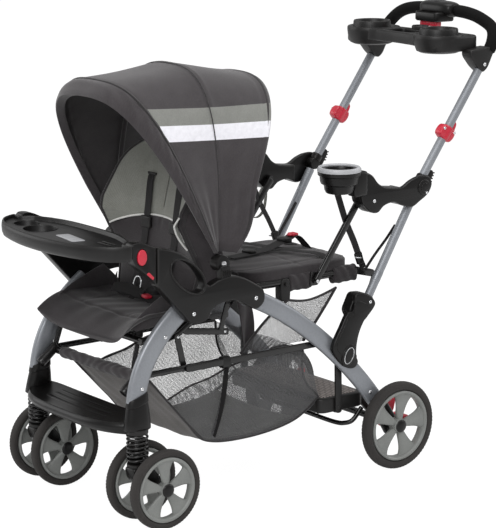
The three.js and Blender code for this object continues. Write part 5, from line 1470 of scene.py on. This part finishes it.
# Seat frame: round tubes under the seat and the bench, and flat links that join them. A cross tube is
# its place and its half length.
seatFrame = {"x": 155, "radius": 9, "hinge": (-338, 452), "hingeRadius": 8,
             "side": [(-482, 428), (-385, 428), (-338, 452), (-210, 511), (-140, 513), (20, 513),
                      (176, 513)], "cross": [((-474, 428), 155), ((-210, 511), 195), ((168, 513), 155)]}


def frameTubes():
    side = tube(evenly(smoothRoute([(seatFrame["x"], *place) for place in seatFrame["side"]], 200), 90),
                seatFrame["radius"], 20, ease=1.5)
    cross = [crossRod(half, place, seatFrame["radius"] - 0.5, ease=1.5, steps=8)
             for place, half in seatFrame["cross"]]
    return joined(side, mirrored(side), *cross,
                  crossRod(seatFrame["x"], seatFrame["hinge"], seatFrame["hingeRadius"]))


# A flat link between two places in the side plane, with round ends
def flatLink(start, end, x, width=16, thick=4):
    way = (np.array(end, float) - start) / math.dist(start, end)
    out = np.array([way[1], -way[0]]) * width / 2
    start, end = np.array(start) - way * width * 0.4, np.array(end) + way * width * 0.4
    outline = roundCorners([start + out, end + out, end - out, start - out], width * 0.48, 7)
    return plate(outline, x - thick / 2, x + thick / 2, 1)


frameLinks = joined(flatLink((-354, 435), (-232, 416), 161), flatLink((-387, 430), (-368, 352), 172),
                    flatLink((-474, 428), (-500, 356), 183, 14),
                    flatLink((-237, 486), (-255, 430), 170, 14, 5))
addPiece("seat_frame_tubes", joined(frameTubes(), frameLinks, mirrored(frameLinks)), "front_frame",
         "black_steel", enamel, ["seat_frame"])
linkRivets = joined(rivet(-238, 417, 163, 4), rivet(-385, 428, 174, 4.4), rivet(-368, 352, 192, 4.6))
addPair("frame_link_rivets", linkRivets, "front_frame", "silver_paint", chrome)

# Rails: a round tube in front, a flat bar behind, and the moulded clip that joins them. In front they
# meet the cross bar, with a roll of cloth round it.
rail = {"x": 181, "z": 352, "front": -490, "tubeEnd": -256, "barFront": -376, "barRear": 40, "radius": 7.5,
        "barHalf": 8, "clip": (-268, -243)}
crossBar = {"y": -500, "z": 345, "half": 206, "radius": 9}
roll = {"right": -144, "left": 168, "radius": 15}
railTube = rod((rail["x"], rail["front"], rail["z"]), (rail["x"], rail["tubeEnd"], rail["z"]),
               rail["radius"], 20, ease=1.5, steps=12)
railBar = plate(boxOutline((rail["barFront"], rail["z"] - rail["barHalf"]),
                           (rail["barRear"], rail["z"] + rail["barHalf"]),
                           7), rail["x"] + 8, rail["x"] + 14, 1)
railClip = rod(*[(rail["x"] + 3, y, rail["z"] - 3) for y in rail["clip"]], 14, 28, across=12, power=3,
               ease=2.5, steps=8)
addPair("basket_rail_bar", joined(railTube, railBar), "front_frame", "black_steel", enamel, ["basket_rail"])
addPair("rail_clip", railClip, "front_frame", "black_plastic", blackPlastic)
endCap = rod((179, -500, 356), (179, -548, 318), 12.5, 28, ease=2.5, steps=8)
barRod = crossRod(crossBar["half"], (crossBar["y"], crossBar["z"]), crossBar["radius"], 24, steps=8)
addPiece("basket_cross_bar", joined(barRod, endCap, mirrored(endCap)), "front_frame", "black_steel", enamel,
         ["basket_cross_tube"])


# The roll of cloth round the cross bar: its radius gathers in ridges that wander along it
def clothRoll():
    x = np.linspace(roll["right"], roll["left"], 260)[:, None]
    angle = roundAngles(40)[None]
    gathers = 0.7 * np.sin(x / 11 + 1.6 * np.sin(angle + x / 70))
    gathers = gathers + 0.6 * np.sin(x / 4.7 + 2 * np.sin(angle * 2 + x / 33))
    gathers += 0.4 * np.sin(angle * 3 + x / 19 + np.sin(x / 31))
    ends = unit(np.minimum(x - roll["right"], roll["left"] - x) / 6)**0.5
    radius = (roll["radius"] + gathers) * (0.75 + 0.25 * ends) + 1.2 * np.sin(x / 47)
    y = crossBar["y"] + radius * np.cos(angle) + 1.5 * np.sin(x / 60)
    z = crossBar["z"] + 3 + radius * 0.92 * np.sin(angle) - 1.5 * np.cos(x / 150)
    return gridShape(np.stack([x + 0 * angle, y, z], 2), wrapColumns=True, caps=True)


addPiece("basket_front_roll", clothRoll(), "front_frame", "charcoal_fabric", charcoalPad, sharp=70)
print("seat frame and rails ready")

# Basket: one long sheet for front, floor and back, hung between two side nets. Its places are corners
# of a side in its own plane, from the front seam round the floor to the top of the back.
basket = {"half": 180, "floorHalf": 166, "top": 350, "deep": 200, "sag": 9, "belly": 9, "netFrom": -20,
          "seam": [(-474, 338), (-421, 279), (-357, 209), (-308, 160)], "floor": [(-179, 142), (-22, 162)],
          "back": [(48, 207), (4, 254), (-9, 290), (-11, 345)], "board": (-300, -24), "boardThick": 0.003,
          "sideTop": [(-421, 279), (-356, 303), (-297, 314), (-224, 336), (-100, 345), (-11, 345)]}
basketProfile = smoothRoute(basket["seam"] + basket["floor"] + basket["back"], 150)
sideBottom = smoothRoute(basket["seam"][1:] + basket["floor"] + basket["back"][:1], 90)
sideTop = evenly(smoothRoute(basket["sideTop"], 200), 90)


def basketDeep(z):  # 0 at the basket's top and 1 at its floor
    return unit((basket["top"] - z) / basket["deep"])


def basketHalf(z):  # the sides draw in towards the floor
    return basket["half"] + (basket["floorHalf"] - basket["half"]) * basketDeep(z)


# The long sheet sags between its sides: forwards in front and down on the floor
def basketFloorSheet():
    share = np.linspace(-1, 1, 61)[None]
    y, z = [evenly(basketProfile, 130)[:, k, None] for k in (0, 1)]
    deep, front = basketDeep(z), unit((-300 - y) / 60)
    sag = 1 - share**2
    ripple = 2.2 * np.sin(share * 9 + y / 37) * np.sin(y / 61 + z / 45)
    ripple += 1.2 * np.sin(share * 21 + z / 19) * np.abs(share)
    return np.stack([share * basketHalf(z), y + sag * 6 * deep * front + ripple * 0.6 * front,
                     z - sag * basket["sag"] * deep * (1 - front) + ripple * 0.5], 2)


# A side net: straight threads from its top edge down to its lower one, bellied by what it carries
def basketSideSheet():
    flat, down = between(sideTop, evenly(sideBottom, 90), 41)
    flat, down = flat.transpose(1, 0, 2), down.T
    belly = (basket["belly"] + 3 * np.sin(flat[..., 0] / 31 + down * 4)) * np.sin(np.pi * down)
    return np.concatenate([(basketHalf(flat[..., 1]) + belly)[..., None], flat], 2)


def addBasket():
    sheet = basketFloorSheet()
    kinds = (sheet[:-1, :-1, 1] > basket["netFrom"]).astype(int)
    addCloth("basket_floor_cloth", sheet, "front_frame", "basket_mesh", taupe, ["basket_cross_bar"],
             replaced=["basket"], extra=["basket_front_roll"], faceMaterials=kinds.ravel(),
             materials=(taupe, net))
    addClothPair("basket_side_net", basketSideSheet(), "front_frame", "basket_mesh", net,
                 "basket_rail_bar_{}")
    middle = sheet[:, sheet.shape[1] // 2, 1]
    board = sheet[(middle > basket["board"][0]) & (middle < basket["board"][1])] * np.array([0.94, 1, 1])
    addPiece("basket_board", gridShape(board + np.array([0, 0, 5])), "front_frame", "basket_mesh", greyCloth,
             outward=False, modifiers=[("SOLIDIFY", {"thickness": basket["boardThick"], "offset": 0})])


def binding(route, radius=2.6):  # a tape sewn over an edge
    return tube(evenly(route, 120), radius, 10, side=(1, 0, 0.2), across=radius * 1.5, ease=radius * 0.7)


def besideNet(flat):  # places of the side net's edge from their y and z
    return np.concatenate([basketHalf(flat[:, 1:]), flat], 1)


addBasket()
edges = [sideTop, smoothRoute(basket["seam"], 60), sideBottom, smoothRoute(basket["back"], 60)]
addPair("basket_binding", joined(*[binding(besideNet(edge)) for edge in edges]), "front_frame",
        "basket_mesh", darkPiping)
wallStrap = strap([(184, -250, 334), (188, -262, 270), (182, -272, 215), (170, -281, 165)], 20)
addPair("basket_wall_strap", wallStrap, "front_frame", "charcoal_fabric", webbing)


# The raised net panel at each side of the bench, bound with tape along its front, its back and its top
def raisedPanel():
    front = smoothRoute([(165, -46, 468), (165, -105, 434), (165, -163, 385), (166, -194, 355)], 40)
    rear = smoothRoute([(165, 107, 479), (165, 76, 440), (165, 40, 398), (166, 1, 357)], 40)
    sheet, share = between(front, rear, 40)
    sheet[..., 2] -= 14 * np.sin(np.pi * share) * np.linspace(1, 0, 40)[:, None]
    sheet[..., 0] += 2 * np.sin(sheet[..., 1] / 23 + sheet[..., 2] / 31)
    return sheet, joined(binding(front, 3.2), binding(rear, 3.2), binding(sheet[0], 3))


panel, panelTape = raisedPanel()
addClothPair("basket_raised_net", panel, "front_frame", "basket_mesh", net, "basket_rail_bar_{}")
addPair("basket_raised_tape", panelTape, "front_frame", "basket_mesh", darkPiping)
print("basket ready")

# Bench pad over the rear of the seat frame, and the cuffs and hooks that hold it to the tubes
bench = {"half": 158, "front": -162, "rear": 174, "top": 546, "low": 519, "skirt": 16, "rows": 70,
         "columns": 61, "cuffs": [(-39, 34), (101, 177)], "cuffZ": 507}


def benchSwell(u, v):
    edge = unit(1 - np.abs(u)**8)**0.5 * unit(1 - np.abs(2 * v - 1)**8)**0.5
    seams = 2.2 * ridge(np.abs(u) - 0.8, 0.02) + 2.0 * ridge(v - 0.5, 0.012)
    folds = 1.12 * np.sin(u * 6 + v * 9) * np.sin(v * 5 + 1) + 0.63 * np.sin(u * 19 - v * 11)
    return edge * (6 + 4 * (1 - u * u) * (1 - (2 * v - 1)**2) + folds - seams)


def addBenchPad():
    u, v = padGrid(bench["rows"], bench["columns"])
    x = u * bench["half"] * np.clip(1 - np.abs(2 * v - 1)**9, 0.25, 1)**0.25
    y = bench["front"] + v * (bench["rear"] - bench["front"])
    top = np.stack([x, y, bench["top"] - 4 + benchSwell(u, v)], 2)
    under = np.stack([x[:, ::-1], y, bench["low"] - bench["skirt"] * np.abs(u[:, ::-1])**8], 2)
    addPadded("bench_cushion", top, under, "front_frame", "bench_pad", 0.6)


# A cuff: cloth folded round the tube and sewn under the pad, drawn in by its own folds
def cuffShape(start, end):
    y = np.linspace(start, end, 34)[:, None]
    angle = roundAngles(32)[None]
    wave = 0.8 * np.sin(y / 4.2 + 3 * np.sin(angle)) + 0.6 * np.sin(y / 9)
    ends = unit(np.minimum(y - start, end - y) / 3)**0.5 * 0.18 + 0.82
    x = seatFrame["x"] - 2 + bent(np.cos(angle), 0.8) * (14 + wave) * ends
    z = bench["cuffZ"] + bent(np.sin(angle), 0.8) * (21 + wave) * ends
    return gridShape(np.stack([x, y + 0 * angle, z], 2), wrapColumns=True, caps=True)


addBenchPad()
addPair("bench_cuffs", joined(*[cuffShape(*ends) for ends in bench["cuffs"]]), "front_frame",
        "charcoal_fabric", charcoalPad, sharp=70)
hookOutline = roundCorners([(-69, 466), (-40, 464), (-38, 498), (-44, 522), (-64, 522), (-70, 498)], 6, 6)
hook = joined(plate(hookOutline, 143, 167, 3), rod((168, -54, 508), (173, -54, 508), 5, 20, ease=1.5))
addPair("bench_hook", hook, "front_frame", "black_plastic", blackPlastic)
footOutline = roundCorners([(20, 494), (46, 494), (48, 526), (22, 530)], 6, 6)
addPair("strut_foot_bracket", plate(footOutline, 165, 171, 1.4), "front_frame", "black_steel", enamel)
strutRivets = joined(*[rivet(*place, 186, 5) for place in (strut["foot"], strut["top"])])
addPair("strut_foot_rivet", strutRivets, "struts", "silver_paint", chrome)

# Straps of the bench: a humped belt with its red buckle, and the band that runs back across the pad
benchBelts = joined(
    strap([(10, -110, 556), (6, -40, 558), (0, 15, 561), (-2, 83, 578), (0, 107, 586), (0, 132, 566),
           (2, 158, 536)], 38),
    strap([(-132, 20, 557), (-80, 26, 560), (-12, 36, 562), (62, 60, 561), (128, 92, 556), (150, 104, 530)],
          24, side=(0, 1, 0)),
    strap([(-66, 120, 552), (-62, 150, 548), (-60, 174, 520), (-60, 215, 500)], 38))
addPiece("bench_belts", benchBelts, "front_frame", "charcoal_fabric", webbing)
addPiece("bench_buckle", joined(block((-12, 92, 584), (12, 112, 592), 3),
                                block((-8, 86, 585), (8, 94, 590), 2)),
         "front_frame", "red_plastic", red)
beltSlides = joined(block((-21, 64, 571), (21, 84, 584), 3), block((-20, -48, 556), (20, -30, 566), 3))
addPiece("bench_belt_slides", beltSlides, "front_frame", "black_plastic", glossBlack)

# Side straps: a flat one from each arm with its adjuster, and a thin one to its elbow
armStraps = joined(strap([(176, 98, 724), (174, 131, 642), (171, 160, 588), (168, 183, 540),
                          (166, 196, 516)], 17, side=(0.2, 1, 0)),
                   strap([(186, 184, 517), (190, 213, 553), (195, 248, 592), (198, 272, 622)], 9,
                         side=(0, 1, 0)))
addPair("arm_strap", armStraps, "lower_handle", "charcoal_fabric", webbing)
adjuster = plate(roundCorners([(164, 556), (184, 562), (194, 532), (176, 526)], 5, 6), 163, 173, 2.4)
addPair("arm_strap_adjuster", adjuster, "lower_handle", "black_plastic", glossBlack)
addPair("arm_strap_bar", rod((175, 162, 549), (175, 180, 545), 1.8, 12, ease=1), "lower_handle",
        "silver_paint", chrome)
addPair("bench_tube_end", flatLink((172, 513), (226, 499), 159, 19, 12), "front_frame", "black_steel",
        enamel)
addPair("lower_tube_stop", flatLink((214, 496), (196, 452), 190, 18, 10), "lower_handle", "black_steel",
        enamel)
pullRoute = [(-186, 161, 676), (-187, 160, 642), (-188, 152, 612), (-189, 134, 599), (-189, 112, 605),
             (-188, 117, 628), (-187, 140, 662), (-186, 152, 678)]
addPiece("pull_loop", strap(pullRoute, 11, 2, count=80), "lower_handle", "charcoal_fabric", greyCloth)

# Harness: the silver ring, the belts that meet there and the red tongue of the front seat
ringFlat = oval((0, 0), 15, 19, 48, power=2.4)
ringRoute = np.stack([ringFlat[:, 0], -380 + ringFlat[:, 1] * 0.25, 524 + ringFlat[:, 1]], 1)
addPiece("harness_ring", tube(ringRoute, 2.2, 12, side=(0, 1, 0.2), closed=True), "front_frame",
         "silver_paint", chrome)
lapBelt = [(8, -380, 508), (60, -384, 500), (110, -366, 506), (142, -345, 520)]
lapBelts = joined(
    strap([(0, -400, 492), (0, -388, 502), (0, -378, 512)], 24),
    strap(flipSide(lapBelt), 22, side=(0, 0.35, 1)), strap(lapBelt, 22, side=(0, 0.35, 1)),
    strap([(-60, -412, 512), (-30, -402, 516), (4, -396, 513), (36, -390, 507)], 26, side=(0, 0.7, 0.7)))
addPiece("harness_lap_belts", lapBelts, "front_frame", "charcoal_fabric", webbing)
tongue = plate(roundCorners([(38, -396), (66, -402), (70, -384), (42, -378)], 5, 6), 502, 510, 3,
               plane="top")
tongueTip = plate(roundCorners([(20, -392), (42, -396), (45, -382), (24, -378)], 4, 6), 503, 509, 2,
                  plane="top")
addPiece("harness_tongue", tongue, "front_frame", "red_plastic", red)
addPiece("harness_tongue_tip", tongueTip, "front_frame", "black_plastic", glossBlack)
seatRibbon = strap([(132, -457, 461), (128, -440, 472), (122, -422, 486), (118, -400, 496),
                    (116, -381, 500)], 20, side=(1, 0.3, 0))
addPiece("seat_ribbon", seatRibbon, "front_frame", "charcoal_fabric", webbing)


# Side flaps of the seat: soft triangles between the pad, the back and the armrest
def sideFlap():
    front = smoothRoute([(166, -519, 470), (163, -470, 505), (158, -420, 530), (156, -372, 548)], 30)
    rear = smoothRoute([(168, -500, 458), (166, -440, 462), (162, -370, 468), (158, -300, 478)], 30)
    sheet, share = between(front, rear, 16)
    sheet[..., 0] += 3 * np.sin(sheet[..., 1] / 26) * np.sin(np.pi * share)
    return sheet


def backEdge(u, low, high, count, lift):  # a stretch of the back's left edge, between shares of its height
    return backPoint(np.full(count, u), np.linspace(low, high, count), np.full(count, float(lift)))


# Gussets behind the back's lower edges, which close the seat towards the hubs
def sideGusset():
    start = backEdge(0.96, 0.18, 0.78, 24, -2)
    bulge = np.sin(np.pi * np.linspace(0.1, 1, 24))[:, None]
    sheet, share = between(start, start + np.array([34, 74, 0]) * bulge - seatUp * 10, 14)
    sheet[..., 0] += 3 * np.sin(sheet[..., 2] / 17 + share * 3) * np.sin(np.pi * share)
    return sheet


# The small wing beside the back, on the near side only: grey cloth from its edge forwards, with a white
# cord along the rim
def addWing():
    start = backEdge(0.97, 0.4, 0.58, 26, 10)
    reach = 22 * np.sin(np.pi * np.linspace(0.12, 0.9, 26))
    rim = start + seatFront * reach[:, None] + np.array([14, 0, 0])
    addCloth("seat_wing", between(start, rim, 12)[0], "seat_back", "charcoal_fabric", greyCloth,
             ["seat_back_pad"])
    addPiece("seat_wing_piping", tube(evenly(rim, 60), 2.2, 8, ease=1.4), "seat_back", "charcoal_fabric",
             piping)


# The dark flap that hangs behind the seat at each side
def hangingFlap():
    down, share = np.linspace(0, 1, 30)[:, None], np.linspace(0, 1, 14)[None]
    front, rear = -190 + 24 * down, -170 + 34 * np.sin(np.pi * (0.2 + 0.6 * down)) + 4 * down
    y = front * (1 - share) + rear * share
    return np.stack([142 + 5 * np.sin(share * 5 + down * 3), y, 496 - 142 * down + 0 * share], 2)


for word, sign in sideSigns.items():
    addCloth(f"seat_side_flap_{word}", sideFlap() * np.array([sign, 1, 1]), "front_frame", "charcoal_fabric",
             charcoal, ["seat_cushion"])
    addCloth(f"seat_gusset_{word}", sideGusset() * np.array([sign, 1, 1]), "seat_back", "charcoal_fabric",
             charcoal, ["seat_back_pad"])
addWing()
addClothPair("bench_side_flap", hangingFlap(), "front_frame", "charcoal_fabric", charcoal,
             "seat_frame_tubes")
print("bench and straps ready")
